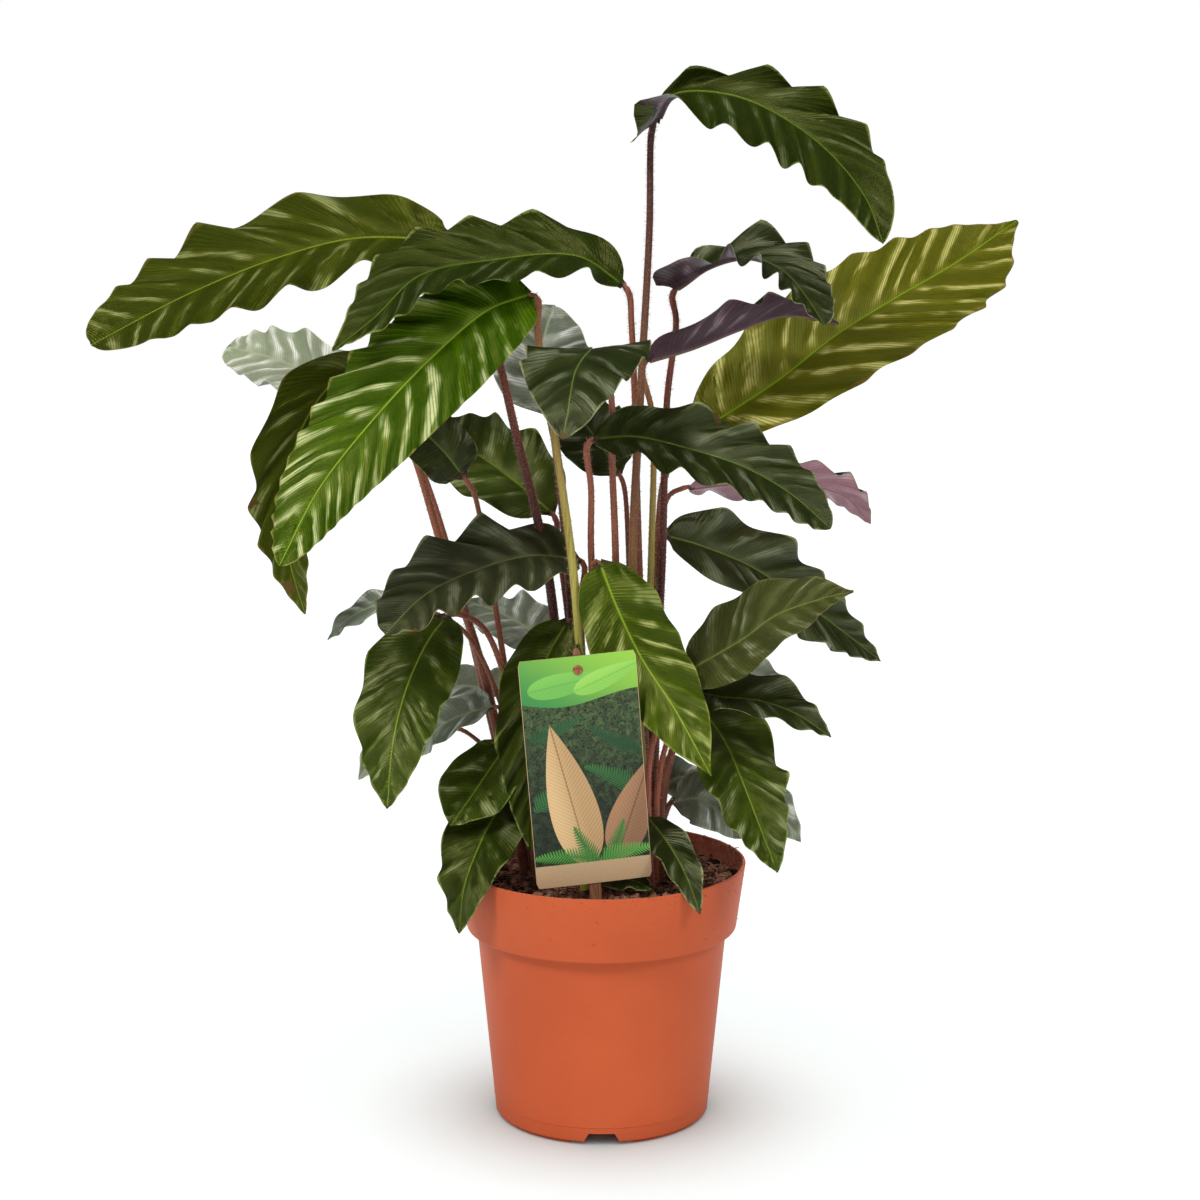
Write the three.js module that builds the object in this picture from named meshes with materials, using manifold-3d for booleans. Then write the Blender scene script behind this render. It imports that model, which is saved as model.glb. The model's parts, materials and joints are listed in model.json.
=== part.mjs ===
import * as THREE from 'three';
import { mergeVertices } from 'three/addons/utils/BufferGeometryUtils.js';
import Module from 'manifold-3d';

// A prayer plant with long lance-shaped leaves, standing in a round grower's pot with its plant label.
// Millimetres, +Z up, seen from -Y, origin on the floor under the middle of the whole plant's outline.
// Places are first given from the middle of the pot, as a viewer in front of it sees them:
// [right, height, towards the viewer]. The last lines centre the whole plant.

const potRimRadius = 85;
const potHeight = 152;
const potWall = 1.6;
const collarRadiusBelow = 79.6;
const collarHeight = 38.7;
const bodyRadiusTop = 73.9;
const bodyRadiusFoot = 64.2;
const partingHeight = 10.6;
const edgeBevel = 0.6;
const potSides = 40;
const bodyHeight = potHeight - collarHeight;

const footRingHeight = 1.9;
const footRingInner = 57.5;
const footRingOuter = 61.5;
const footRingGap = 36;
const floorUnderside = 4;
const floorThickness = 2;
const notchWidthBelow = 24;
const notchWidthAbove = 15;
const notchHeight = 7;
const cutDepth = 20;
const drainHoleRadius = 5;
const drainHoleRing = 38;
const drainHoles = 6;
const drainHoleSides = 10;

const soilHeight = 138;
const soilUneven = 2.2;
const soilRings = [62, 44, 22, 0];
const soilSides = 36;
const fit = 0.3;

const labelStakeWidth = 7;
const labelStakeThickness = 1.6;
const labelStakeFoot = [-1.4, 118, 46.4];
const labelStakeTip = [-14.4, 290, 60.7];
const labelCardWidth = 66.3;
const labelCardHeight = 134.4;
const labelCardThickness = 0.8;
const labelCardTop = 285.7;
const labelTurn = THREE.MathUtils.degToRad(7.4);
const labelPinDrop = 8;
const labelPinHeadRadius = 2.8;
const labelPinHeadHeight = 1;
const labelPinRadius = 1.2;
const labelPinLength = 3.6;
const labelPinSides = 16;

const leafThickness = 0.9;
const leafEndHalfWidth = 1.1;
const leafRows = 10;
const leafColumns = 4;
const stalkSides = 6;
const stalkBend = 5;
const stalkStepLength = 38;
const stalkStepsLeast = 6;
const stalkStartDepth = 4;
const stalkGap = 0.4;
const stalkSpread = 0.5;
const crownDepth = 14;
const crownRise = 5;
const crownFootShare = 0.8;
const crownTopShare = 0.55;
const crownSides = 10;

// Each shoot stands in the soil on its own crown, from which its leaf stalks fan out.
const shoots = {
  left_back: { foot: [-40, -10], radius: 7.5 },
  left_front: { foot: [-32, 13], radius: 7.5 },
  middle_back: { foot: [-14, -25], radius: 7 },
  middle_front: { foot: [-8, 20], radius: 7 },
  middle: { foot: [7, 4], radius: 6 },
  right_front: { foot: [26, 23], radius: 6.5 },
  right: { foot: [31, 2], radius: 6.5 },
  right_back: { foot: [25, -22], radius: 9 },
};

// Every leaf: its midrib from stalk to tip, its half width, where its upper side looks at both ends,
// how far its two halves fold up (degrees, at base and tip), how full its outline is at both ends
// (smaller is blunter), and the bends of its stalk above the crown.
const leaves = {
  crown: {
    shoot: 'right', halfWidth: 29, stalkRadius: 2.5,
    midrib: [[30, 580, 0], [39, 594, 6], [73, 593, 24], [114, 569, 56], [140, 538, 78], [149, 513, 90]],
    faces: [[0, 0.5, 0.85], [0.45, 0.4, 0.8]], fold: [22, 10], fullness: [0.75, 0.6],
    stalk: [[18, 324, 9], [22, 424, 9], [27, 520, 4]],
  },
  upper_left: {
    shoot: 'middle_back', halfWidth: 31, stalkRadius: 2.8,
    midrib: [[-88, 514, -30], [-141, 515, -14], [-181, 505, 4], [-229, 485, 30], [-278, 458, 62]],
    faces: [[0, 0.6, 0.8], [-0.35, 0.5, 0.85]], fold: [20, 12], fullness: [0.45, 0.5],
    stalk: [[-31, 320, -10], [-50, 405, -10], [-62, 454, -16]],
  },
  upper_middle: {
    shoot: 'right', halfWidth: 28, stalkRadius: 2.3,
    midrib: [
      [12, 489, 0], [-13, 505, 6], [-63, 503, 24],
      [-100, 495, 48], [-123, 473, 70], [-144, 456, 84],
    ],
    faces: [[0, 0.8, 0.6], [-0.4, 0.5, 0.75]], fold: [25, 12], fullness: [0.6, 0.5],
    stalk: [[20, 382, -2], [19, 424, 0], [17, 467, 0]],
  },
  bright_left: {
    shoot: 'middle_front', halfWidth: 34, stalkRadius: 2.6,
    midrib: [
      [-41, 484, 26], [-63, 476, 36], [-94, 450, 56],
      [-125, 417, 80], [-152, 382, 98], [-172, 343, 108],
    ],
    faces: [[-0.1, 0.5, 0.85], [-0.2, 0.35, 0.9]], fold: [15, 8], fullness: [0.5, 0.6],
    stalk: [[-14, 304, 22], [-26, 401, 24], [-36, 465, 24]],
  },
  golden_right: {
    shoot: 'right_back', halfWidth: 34, stalkRadius: 2.6,
    midrib: [
      [58, 402, -40], [104, 431, -50], [139, 457, -62],
      [175, 478, -78], [213, 498, -98], [256, 525, -120],
    ],
    faces: [[-0.3, 0.6, 0.75], [-0.2, 0.5, 0.85]], fold: [20, 10], fullness: [0.5, 0.45],
    stalk: [[33, 339, -26], [39, 380, -34]],
  },
  ruffled_right: {
    shoot: 'right_back', halfWidth: 22, stalkRadius: 2.4,
    midrib: [[43, 487, -10], [59, 499, 2], [81, 505, 22], [99, 498, 46], [110, 485, 68], [119, 470, 84]],
    faces: [[-0.1, 0.9, 0.4], [0.5, 0.6, 0.6]], fold: [30, 18], fullness: [0.6, 0.5],
    stalk: [[35, 318, -12], [38, 421, -21], [43, 468, -18]],
  },
  turned_right: {
    shoot: 'right_back', halfWidth: 19, stalkRadius: 2.2,
    midrib: [[27, 447, 2], [51, 454, 3], [79, 464, -8], [107, 471, -24], [139, 465, -40]],
    faces: [[-0.1, 0.95, -0.3], [0, 0.85, -0.5]], fold: [46, 30], fullness: [0.55, 0.8],
    stalk: [[29, 337, -8], [29, 415, -3]],
  },
  towards_front: {
    shoot: 'middle', halfWidth: 33, stalkRadius: 2.3,
    midrib: [[-3, 453, 34], [-6, 456, 70], [-14, 446, 105], [-17, 431, 126], [-20, 413, 136]],
    faces: [[-0.1, 0.97, 0.2], [-0.1, 0.5, 0.85]], fold: [4, 0], fullness: [0.5, 0.75],
    stalk: [[8, 335, 12], [6, 388, 18], [5, 430, 26]],
  },
  grey_middle: {
    shoot: 'middle_back', halfWidth: 30, stalkRadius: 2.2,
    midrib: [[-31, 415, -22], [-34, 433, -34], [-35, 453, -50], [-29, 475, -64]],
    faces: [[0, 0.5, 0.85], [0, 0.4, 0.9]], fold: [18, 10], fullness: [0.5, 0.55],
    stalk: [[-19, 305, -20], [-24, 364, -18], [-28, 399, -18]],
  },
  silver_left: {
    shoot: 'left_back', halfWidth: 25, stalkRadius: 2.3,
    midrib: [[-137, 418, -56], [-164, 427, -78], [-198, 440, -104], [-234, 447, -132]],
    faces: [[0, 0.7, 0.7], [-0.2, 0.7, 0.6]], fold: [20, 12], fullness: [0.5, 0.45],
    stalk: [[-68, 241, -24], [-89, 325, -34], [-113, 390, -50]],
  },
  hanging_far_left: {
    shoot: 'left_back', halfWidth: 26, stalkRadius: 2.6,
    midrib: [
      [-127, 421, -22], [-151, 434, -22], [-173, 408, -14],
      [-183, 366, -4], [-180, 332, 6], [-171, 301, 12],
    ],
    faces: [[-0.3, 0.75, 0.6], [-0.5, 0.1, 0.85]], fold: [18, 8], fullness: [0.55, 0.8],
    stalk: [[-72, 269, -18], [-93, 333, -20], [-111, 393, -22]],
  },
  dark_left: {
    shoot: 'middle_back', halfWidth: 31, stalkRadius: 2.2,
    midrib: [[-30, 355, -32], [-48, 369, -44], [-73, 385, -62], [-105, 400, -88]],
    faces: [[0, 0.7, 0.7], [0, 0.7, 0.7]], fold: [20, 10], fullness: [0.45, 0.45],
    stalk: [[-19, 279, -32], [-26, 339, -32]],
  },
  dark_middle: {
    shoot: 'right_back', halfWidth: 22, stalkRadius: 1.9,
    midrib: [[10, 378, -34], [-3, 396, -54], [-16, 409, -80], [-32, 417, -104]],
    faces: [[-0.2, 0.6, 0.8], [-0.2, 0.6, 0.8]], fold: [14, 8], fullness: [0.55, 0.8],
    stalk: [[16, 327, -32], [14, 365, -34]],
  },
  dark_right: {
    shoot: 'middle', halfWidth: 25, stalkRadius: 2.3,
    midrib: [[-4, 404, 32], [19, 406, 40], [49, 400, 50], [79, 391, 64], [103, 378, 76], [124, 360, 84]],
    faces: [[0.1, 0.7, 0.7], [0.35, 0.55, 0.75]], fold: [26, 12], fullness: [0.55, 0.55],
    stalk: [[-6, 337, 12], [-6, 375, 22]],
  },
  pink_right: {
    shoot: 'right_back', halfWidth: 21, stalkRadius: 1.9,
    midrib: [[52, 371, -24], [85, 372, -42], [123, 368, -66], [150, 358, -86], [167, 339, -104]],
    faces: [[0.2, 0.7, -0.7], [0.4, 0.4, -0.8]], fold: [16, 8], fullness: [0.55, 0.8],
    stalk: [[32, 303, -30], [39, 364, -28]],
  },
  right_back: {
    shoot: 'right_back', halfWidth: 28, stalkRadius: 2.2,
    midrib: [
      [38, 343, -16], [59, 336, -22], [89, 322, -34],
      [119, 300, -50], [149, 276, -66], [172, 257, -78],
    ],
    faces: [[0, 0.65, 0.75], [0.3, 0.6, 0.75]], fold: [20, 10], fullness: [0.55, 0.8],
    stalk: [[33, 245, -18], [34, 305, -18]],
  },
  olive_right: {
    shoot: 'right_front', halfWidth: 26, stalkRadius: 2,
    midrib: [[49, 269, 20], [80, 292, 42], [97, 308, 58], [120, 320, 76], [136, 327, 92]],
    faces: [[0, 0.65, 0.75], [0.1, 0.65, 0.75]], fold: [16, 10], fullness: [0.5, 0.6],
    stalk: [[28, 219, 20], [38, 251, 20]],
  },
  right_low_back: {
    shoot: 'right', halfWidth: 16, stalkRadius: 1.6,
    midrib: [[58, 251, -10], [79, 259, -20], [101, 255, -32], [118, 246, -42]],
    faces: [[0, 0.8, 0.6], [0.1, 0.8, 0.6]], fold: [14, 8], fullness: [0.55, 0.8],
    stalk: [[41, 211, -6], [51, 240, -8]],
  },
  right_low: {
    shoot: 'right', halfWidth: 20, stalkRadius: 1.8,
    midrib: [[51, 257, 16], [68, 255, 24], [90, 255, 36], [109, 250, 46], [129, 238, 54]],
    faces: [[0, 0.85, 0.5], [0.3, 0.75, 0.55]], fold: [26, 14], fullness: [0.55, 0.8],
    stalk: [[34, 209, 12], [43, 243, 14]],
  },
  hanging_right: {
    shoot: 'right', halfWidth: 28, stalkRadius: 2,
    midrib: [[58, 244, 0], [71, 228, 18], [80, 210, 42], [89, 188, 62], [98, 166, 78]],
    faces: [[0.3, 0.7, 0.6], [0.45, 0.25, 0.85]], fold: [16, 8], fullness: [0.55, 0.8],
    stalk: [[37, 201, 2], [48, 238, 0]],
  },
  bright_front: {
    shoot: 'middle', halfWidth: 25, stalkRadius: 2.2,
    midrib: [[-1, 332, 22], [9, 307, 29], [23, 279, 35], [41, 253, 48], [61, 219, 68]],
    faces: [[-0.05, 0.6, 0.8], [-0.2, 0.4, 0.9]], fold: [14, 8], fullness: [0.55, 0.8],
    stalk: [[4, 253, 18], [0, 311, 18]],
  },
  wide_left: {
    shoot: 'middle_front', halfWidth: 30, stalkRadius: 2.2,
    midrib: [[-14, 331, -4], [-39, 335, 10], [-68, 331, 34], [-98, 320, 62], [-118, 302, 84]],
    faces: [[0.1, 0.8, 0.6], [-0.3, 0.65, 0.7]], fold: [18, 10], fullness: [0.5, 0.5],
    stalk: [[-10, 249, 0], [-12, 308, -4]],
  },
  small_left: {
    shoot: 'left_back', halfWidth: 14, stalkRadius: 1.6,
    midrib: [[-112, 303, -8], [-127, 303, -14], [-149, 293, -24], [-163, 279, -30]],
    faces: [[0, 0.85, 0.5], [-0.2, 0.8, 0.5]], fold: [18, 10], fullness: [0.55, 0.8],
    stalk: [[-60, 247, -6], [-82, 289, -8]],
  },
  hanging_left: {
    shoot: 'left_front', halfWidth: 28, stalkRadius: 2.1,
    midrib: [[-90, 299, 10], [-99, 288, 22], [-110, 265, 40], [-117, 237, 56], [-120, 200, 68]],
    faces: [[-0.2, 0.7, 0.7], [-0.3, 0.2, 0.92]], fold: [14, 8], fullness: [0.55, 0.8],
    stalk: [[-56, 262, 6], [-70, 294, 8]],
  },
  pale_left: {
    shoot: 'middle_back', halfWidth: 21, stalkRadius: 1.8,
    midrib: [[-33, 276, -44], [-52, 284, -66], [-69, 288, -88], [-85, 290, -106]],
    faces: [[0, 0.7, 0.7], [0, 0.7, 0.7]], fold: [14, 8], fullness: [0.55, 0.8],
    stalk: [[-19, 215, -42], [-27, 258, -42]],
  },
  low_left_back: {
    shoot: 'left_back', halfWidth: 18, stalkRadius: 1.7,
    midrib: [[-61, 244, -42], [-75, 245, -54], [-89, 243, -68], [-102, 231, -80]],
    faces: [[0, 0.75, 0.65], [-0.1, 0.75, 0.65]], fold: [14, 8], fullness: [0.55, 0.8],
    stalk: [[-43, 201, -30], [-55, 235, -40]],
  },
  low_left: {
    shoot: 'left_front', halfWidth: 16, stalkRadius: 1.7,
    midrib: [[-64, 245, 4], [-80, 239, -4], [-97, 228, -14], [-111, 209, -22]],
    faces: [[0, 0.8, 0.6], [-0.2, 0.75, 0.6]], fold: [18, 10], fullness: [0.55, 0.8],
    stalk: [[-42, 207, 0], [-56, 240, 4]],
  },
  rim_left_back: {
    shoot: 'left_front', halfWidth: 24, stalkRadius: 1.5,
    midrib: [[-54, 225, 10], [-62, 215, 17], [-74, 199, 29], [-86, 184, 43]],
    faces: [[-0.2, 0.7, 0.7], [-0.3, 0.5, 0.8]], fold: [12, 8], fullness: [0.8, 0.8],
    stalk: [[-35, 205, 1], [-44, 234, -4]],
  },
  rim_left: {
    shoot: 'left_front', halfWidth: 22, stalkRadius: 1.8,
    midrib: [[-53, 194, 14], [-62, 185, 26], [-71, 170, 44], [-78, 151, 57], [-81, 126, 62]],
    faces: [[0.1, 0.6, 0.75], [-0.7, 0.2, 0.85]], fold: [12, 8], fullness: [0.55, 0.8],
    stalk: [[-33, 182, 16], [-43, 196, 14]],
  },
  behind_card: {
    shoot: 'middle_front', halfWidth: 22, stalkRadius: 2,
    midrib: [[-20, 297, 16], [-32, 276, 25], [-39, 242, 34], [-40, 202, 40], [-40, 168, 41]],
    faces: [[-0.1, 0.6, 0.75], [0.1, 0.2, 0.95]], fold: [12, 8], fullness: [0.55, 0.8],
    stalk: [[-16, 240, 13], [-17, 287, 13]],
  },
  rim_right: {
    shoot: 'right_front', halfWidth: 12, stalkRadius: 1.5,
    midrib: [[27, 184, 26], [36, 175, 37], [47, 161, 62], [55, 142, 78]],
    faces: [[0.2, 0.65, 0.75], [0.3, 0.4, 0.85]], fold: [14, 8], fullness: [0.55, 0.8],
    stalk: [[22, 176, 26]],
  },
  pale_right_back: {
    shoot: 'right_back', halfWidth: 14, stalkRadius: 1.5,
    midrib: [[35, 190, -20], [47, 197, -22], [62, 195, -24]],
    faces: [[0, 0.7, 0.7], [0, 0.7, 0.7]], fold: [14, 8], fullness: [0.55, 0.8],
    stalk: [[32, 177, -16]],
  },
  pale_right: {
    shoot: 'right', halfWidth: 18, stalkRadius: 1.6,
    midrib: [[43, 187, -2], [56, 189, 0], [69, 182, 4], [84, 167, 8]],
    faces: [[0, 0.7, 0.7], [0.2, 0.7, 0.7]], fold: [14, 8], fullness: [0.55, 0.8],
    stalk: [[37, 174, -1]],
  },
  right_tip: {
    shoot: 'right_back', halfWidth: 18, stalkRadius: 1.7,
    midrib: [[59, 190, -34], [79, 191, -34], [101, 179, -32], [120, 155, -30]],
    faces: [[0.1, 0.8, 0.6], [0.3, 0.6, 0.7]], fold: [14, 8], fullness: [0.55, 0.8],
    stalk: [[42, 180, -30]],
  },
  on_soil: {
    shoot: 'middle', halfWidth: 10, stalkRadius: 1.4,
    midrib: [[0, 149, 32], [10, 151, 36], [20, 150, 40], [29, 146, 44]],
    faces: [[0, 0.85, 0.5], [0.1, 0.85, 0.5]], fold: [12, 8], fullness: [0.55, 0.8],
    stalk: [[7, 149, 12], [5, 149, 18], [1, 150, 25]],
  },
  left_tip: {
    shoot: 'left_back', halfWidth: 15, stalkRadius: 1.6,
    midrib: [[-92, 224, -36], [-112, 221, -42], [-133, 210, -42], [-147, 191, -40]],
    faces: [[0, 0.75, 0.65], [-0.2, 0.7, 0.7]], fold: [14, 8], fullness: [0.55, 0.8],
    stalk: [[-60, 203, -22], [-79, 220, -34]],
  },
  dark_far_left: {
    shoot: 'left_front', halfWidth: 20, stalkRadius: 1.9,
    midrib: [[-80, 380, 2], [-89, 393, 6], [-101, 406, 10], [-114, 424, 14]],
    faces: [[0, 0.6, 0.8], [0, 0.6, 0.8]], fold: [14, 8], fullness: [0.55, 0.8],
    stalk: [[-56, 265, 0], [-68, 343, 0], [-74, 371, 0]],
  },
};

const wasm = await Module();
wasm.setup();

function place([right, height, near]) {
  return new THREE.Vector3(right, -near, height);
}

function leafMaterial() {
  return new THREE.MeshStandardMaterial({ color: 0x35481c, roughness: 0.4, metalness: 0 });
}

function stalkMaterial() {
  return new THREE.MeshStandardMaterial({ color: 0x7a4432, roughness: 0.7, metalness: 0 });
}

function potMaterial() {
  return new THREE.MeshStandardMaterial({ color: 0xc4603c, roughness: 0.55, metalness: 0 });
}

function soilMaterial() {
  return new THREE.MeshStandardMaterial({ color: 0x33211a, roughness: 1, metalness: 0 });
}

function stakeMaterial() {
  return new THREE.MeshStandardMaterial({ color: 0x6b4a33, roughness: 0.6, metalness: 0 });
}

function cardMaterial() {
  return new THREE.MeshStandardMaterial({ color: 0x3f6b38, roughness: 0.45, metalness: 0 });
}

function pinMaterial() {
  return new THREE.MeshStandardMaterial({ color: 0xa9683f, roughness: 0.35, metalness: 0.9 });
}

function solidOf(geometry) {
  const bare = geometry.index ? geometry.clone() : geometry;
  bare.deleteAttribute('normal');
  bare.deleteAttribute('uv');
  const merged = mergeVertices(bare, 1e-4);
  return new wasm.Manifold(
    new wasm.Mesh({
      numProp: 3,
      vertProperties: new Float32Array(merged.attributes.position.array),
      triVerts: new Uint32Array(merged.index.array),
    })
  );
}

function geometryOf(solid) {
  const mesh = solid.getMesh();
  const geometry = new THREE.BufferGeometry();
  geometry.setAttribute('position', new THREE.BufferAttribute(new Float32Array(mesh.vertProperties), 3));
  geometry.setIndex(new THREE.BufferAttribute(new Uint32Array(mesh.triVerts), 1));
  geometry.computeVertexNormals();
  return geometry;
}

function part(name, geometry, material) {
  const mesh = new THREE.Mesh(geometry, material);
  mesh.name = name;
  return mesh;
}

// Half width of a blade as a share of its widest place, s running from stalk to tip.
function outline(s, [base, tip]) {
  const widest = base / (base + tip);
  const peak = widest ** base * (1 - widest) ** tip;
  return (s ** base * (1 - s) ** tip) / peak;
}

// A closed blade of even thickness, folded along its midrib.
function leafGeometry(leaf) {
  const curve = new THREE.CatmullRomCurve3(leaf.midrib.map(place));
  const faceBase = place(leaf.faces[0]);
  const faceTip = place(leaf.faces[1]);
  const upper = [];
  const lower = [];
  for (let row = 0; row <= leafRows; row += 1) {
    const s = row / leafRows;
    const middle = curve.getPointAt(s);
    const tangent = curve.getTangentAt(s);
    const face = faceBase.clone().lerp(faceTip, s);
    const across = tangent.clone().cross(face).normalize();
    const up = across.clone().cross(tangent);
    const fold = THREE.MathUtils.degToRad(THREE.MathUtils.lerp(leaf.fold[0], leaf.fold[1], s));
    const halfWidth = Math.max(leaf.halfWidth * outline(s, leaf.fullness), leafEndHalfWidth);
    for (let column = 0; column <= leafColumns; column += 1) {
      const side = (2 * column) / leafColumns - 1;
      const point = middle
        .clone()
        .addScaledVector(across, side * halfWidth * Math.cos(fold))
        .addScaledVector(up, Math.abs(side) * halfWidth * Math.sin(fold));
      upper.push(point);
      lower.push(point.clone().addScaledVector(up, -leafThickness));
    }
  }
  return slabGeometry(upper, lower, leafRows, leafColumns);
}

// Joins two grids of points, one over the other, into a closed slab.
function slabGeometry(upper, lower, rows, columns) {
  const width = columns + 1;
  const shift = upper.length;
  const index = [];
  const quad = (a, b, c, d) => index.push(a, b, c, a, c, d);
  for (let row = 0; row < rows; row += 1) {
    for (let column = 0; column < columns; column += 1) {
      const a = row * width + column;
      quad(a, a + width, a + width + 1, a + 1);
      quad(shift + a, shift + a + 1, shift + a + width + 1, shift + a + width);
    }
    const left = row * width;
    const right = left + columns;
    quad(left, shift + left, shift + left + width, left + width);
    quad(right, right + width, shift + right + width, shift + right);
  }
  for (let column = 0; column < columns; column += 1) {
    const end = rows * width + column;
    quad(column, column + 1, shift + column + 1, shift + column);
    quad(end, shift + end, shift + end + 1, end + 1);
  }
  const geometry = new THREE.BufferGeometry().setFromPoints([...upper, ...lower]);
  geometry.setIndex(index);
  return outwards(geometry);
}

// Turns every face over when the closed surface encloses a negative volume.
function outwards(geometry) {
  const position = geometry.attributes.position;
  const index = geometry.index.array;
  const a = new THREE.Vector3();
  const b = new THREE.Vector3();
  const c = new THREE.Vector3();
  let volume = 0;
  for (let i = 0; i < index.length; i += 3) {
    a.fromBufferAttribute(position, index[i]);
    b.fromBufferAttribute(position, index[i + 1]);
    c.fromBufferAttribute(position, index[i + 2]);
    volume += a.dot(b.cross(c));
  }
  if (volume < 0) {
    for (let i = 0; i < index.length; i += 3) {
      const kept = index[i];
      index[i] = index[i + 1];
      index[i + 1] = kept;
    }
  }
  geometry.computeVertexNormals();
  return geometry;
}

// The way a leaf stalk leans from its shoot's foot, as a turn round it.
function leanOf(leaf, shoot) {
  const [right, , near] = leaf.stalk[0];
  return Math.atan2(near - shoot.foot[1], right - shoot.foot[0]);
}

// Where a leaf stalk starts in its crown.
function stalkStart(shoot, turn) {
  const reach = stalkSpread * shoot.radius;
  const right = shoot.foot[0] + reach * Math.cos(turn);
  const near = shoot.foot[1] + reach * Math.sin(turn);
  return place([right, soilHeight - stalkStartDepth, near]);
}

// One leaf stalk, from inside its crown to just short of its blade.
function stalkGeometry(leaf, start) {
  const blade = new THREE.CatmullRomCurve3(leaf.midrib.map(place));
  const end = blade.getPointAt(0).addScaledVector(blade.getTangentAt(0), -stalkGap);
  const bend = end.clone().addScaledVector(blade.getTangentAt(0), -stalkBend);
  const route = new THREE.CatmullRomCurve3([start, ...leaf.stalk.map(place), bend, end]);
  const section = new THREE.Shape();
  for (let side = 0; side < stalkSides; side += 1) {
    const angle = (2 * Math.PI * side) / stalkSides;
    const x = leaf.stalkRadius * Math.cos(angle);
    const y = leaf.stalkRadius * Math.sin(angle);
    if (side === 0) section.moveTo(x, y);
    else section.lineTo(x, y);
  }
  const steps = Math.max(stalkStepsLeast, Math.round(route.getLength() / stalkStepLength));
  return new THREE.ExtrudeGeometry(section, { steps, extrudePath: route });
}

function crownGeometry(shoot) {
  const bottom = soilHeight - crownDepth;
  const top = soilHeight + crownRise;
  const profile = [
    [0, bottom],
    [shoot.radius * crownFootShare, bottom],
    [shoot.radius, bottom + crownDepth / 4],
    [shoot.radius, soilHeight],
    [shoot.radius * crownTopShare, top],
    [0, top],
  ].map(([radius, height]) => new THREE.Vector2(radius, height));
  const geometry = new THREE.LatheGeometry(profile, crownSides);
  geometry.rotateX(Math.PI / 2);
  geometry.translate(shoot.foot[0], -shoot.foot[1], 0);
  return geometry;
}

function shootGeometry(name) {
  const shoot = shoots[name];
  const own = Object.values(leaves).filter((leaf) => leaf.shoot === name);
  own.sort((a, b) => leanOf(a, shoot) - leanOf(b, shoot));
  const step = (2 * Math.PI) / own.length;
  const turns = own.map((leaf, number) => leanOf(leaf, shoot) - number * step);
  const firstTurn = turns.reduce((sum, turn) => sum + turn, 0) / own.length;
  let solid = solidOf(crownGeometry(shoot));
  own.forEach((leaf, number) => {
    const start = stalkStart(shoot, firstTurn + number * step);
    solid = solid.add(solidOf(stalkGeometry(leaf, start)));
  });
  return geometryOf(solid);
}

function latheUpright(profile, sides) {
  const points = profile.map(([radius, height]) => new THREE.Vector2(radius, height));
  return new THREE.LatheGeometry(points, sides).rotateX(Math.PI / 2);
}

function bodyInside(height) {
  const outside = THREE.MathUtils.mapLinear(height, partingHeight, bodyHeight, bodyRadiusFoot, bodyRadiusTop);
  return outside - potWall;
}

function collarInside(height) {
  const outside = THREE.MathUtils.mapLinear(height, bodyHeight, potHeight, collarRadiusBelow, potRimRadius);
  return outside - potWall;
}

const floorTop = floorUnderside + floorThickness;
const stepHeight = bodyHeight + potWall;

function potGeometry() {
  const shell = solidOf(
    latheUpright(
      [
        [0, floorUnderside],
        [footRingInner, floorUnderside],
        [footRingInner, 0],
        [footRingOuter, 0],
        [footRingOuter, footRingHeight],
        [bodyRadiusFoot - edgeBevel, footRingHeight],
        [bodyRadiusFoot, partingHeight],
        [bodyRadiusTop, bodyHeight],
        [collarRadiusBelow - edgeBevel, bodyHeight],
        [collarRadiusBelow, bodyHeight + edgeBevel],
        [potRimRadius, potHeight - edgeBevel],
        [potRimRadius - edgeBevel, potHeight],
        [potRimRadius - potWall, potHeight],
        [collarInside(stepHeight), stepHeight],
        [bodyInside(bodyHeight), stepHeight],
        [bodyInside(floorTop), floorTop],
        [0, floorTop],
      ],
      potSides
    )
  );
  let pot = shell;
  for (let quarter = 0; quarter < 4; quarter += 1) {
    const turn = (quarter * Math.PI) / 2;
    pot = pot.subtract(solidOf(notchGeometry().rotateZ(turn)));
    pot = pot.subtract(solidOf(ringGapGeometry().rotateZ(turn)));
  }
  for (let hole = 0; hole < drainHoles; hole += 1) {
    const turn = (2 * Math.PI * hole) / drainHoles;
    const drill = new THREE.CylinderGeometry(drainHoleRadius, drainHoleRadius, cutDepth, drainHoleSides);
    drill.rotateX(Math.PI / 2).translate(drainHoleRing, 0, 0).rotateZ(turn);
    pot = pot.subtract(solidOf(drill));
  }
  return geometryOf(pot);
}

// The water notch at the foot of the wall, a tapering tooth pointing out towards the viewer.
function notchGeometry() {
  const shape = new THREE.Shape();
  shape.moveTo(-notchWidthBelow / 2, -1);
  shape.lineTo(notchWidthBelow / 2, -1);
  shape.lineTo(notchWidthAbove / 2, notchHeight);
  shape.lineTo(-notchWidthAbove / 2, notchHeight);
  const tooth = new THREE.ExtrudeGeometry(shape, { depth: cutDepth, bevelEnabled: false });
  return tooth.rotateX(Math.PI / 2).translate(0, cutDepth / 4 - footRingInner, 0);
}

function ringGapGeometry() {
  const box = new THREE.BoxGeometry(footRingGap, cutDepth, 2 * footRingHeight);
  return box.translate(0, -footRingInner, 0);
}

// The soil's low humps, two waves laid over each other.
function uneven(x, y) {
  const broad = 0.6 * Math.sin(x / 9 + 1) * Math.cos(y / 11);
  const slanting = 0.4 * Math.sin((x + y) / 6);
  return soilUneven * (broad + slanting);
}

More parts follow.
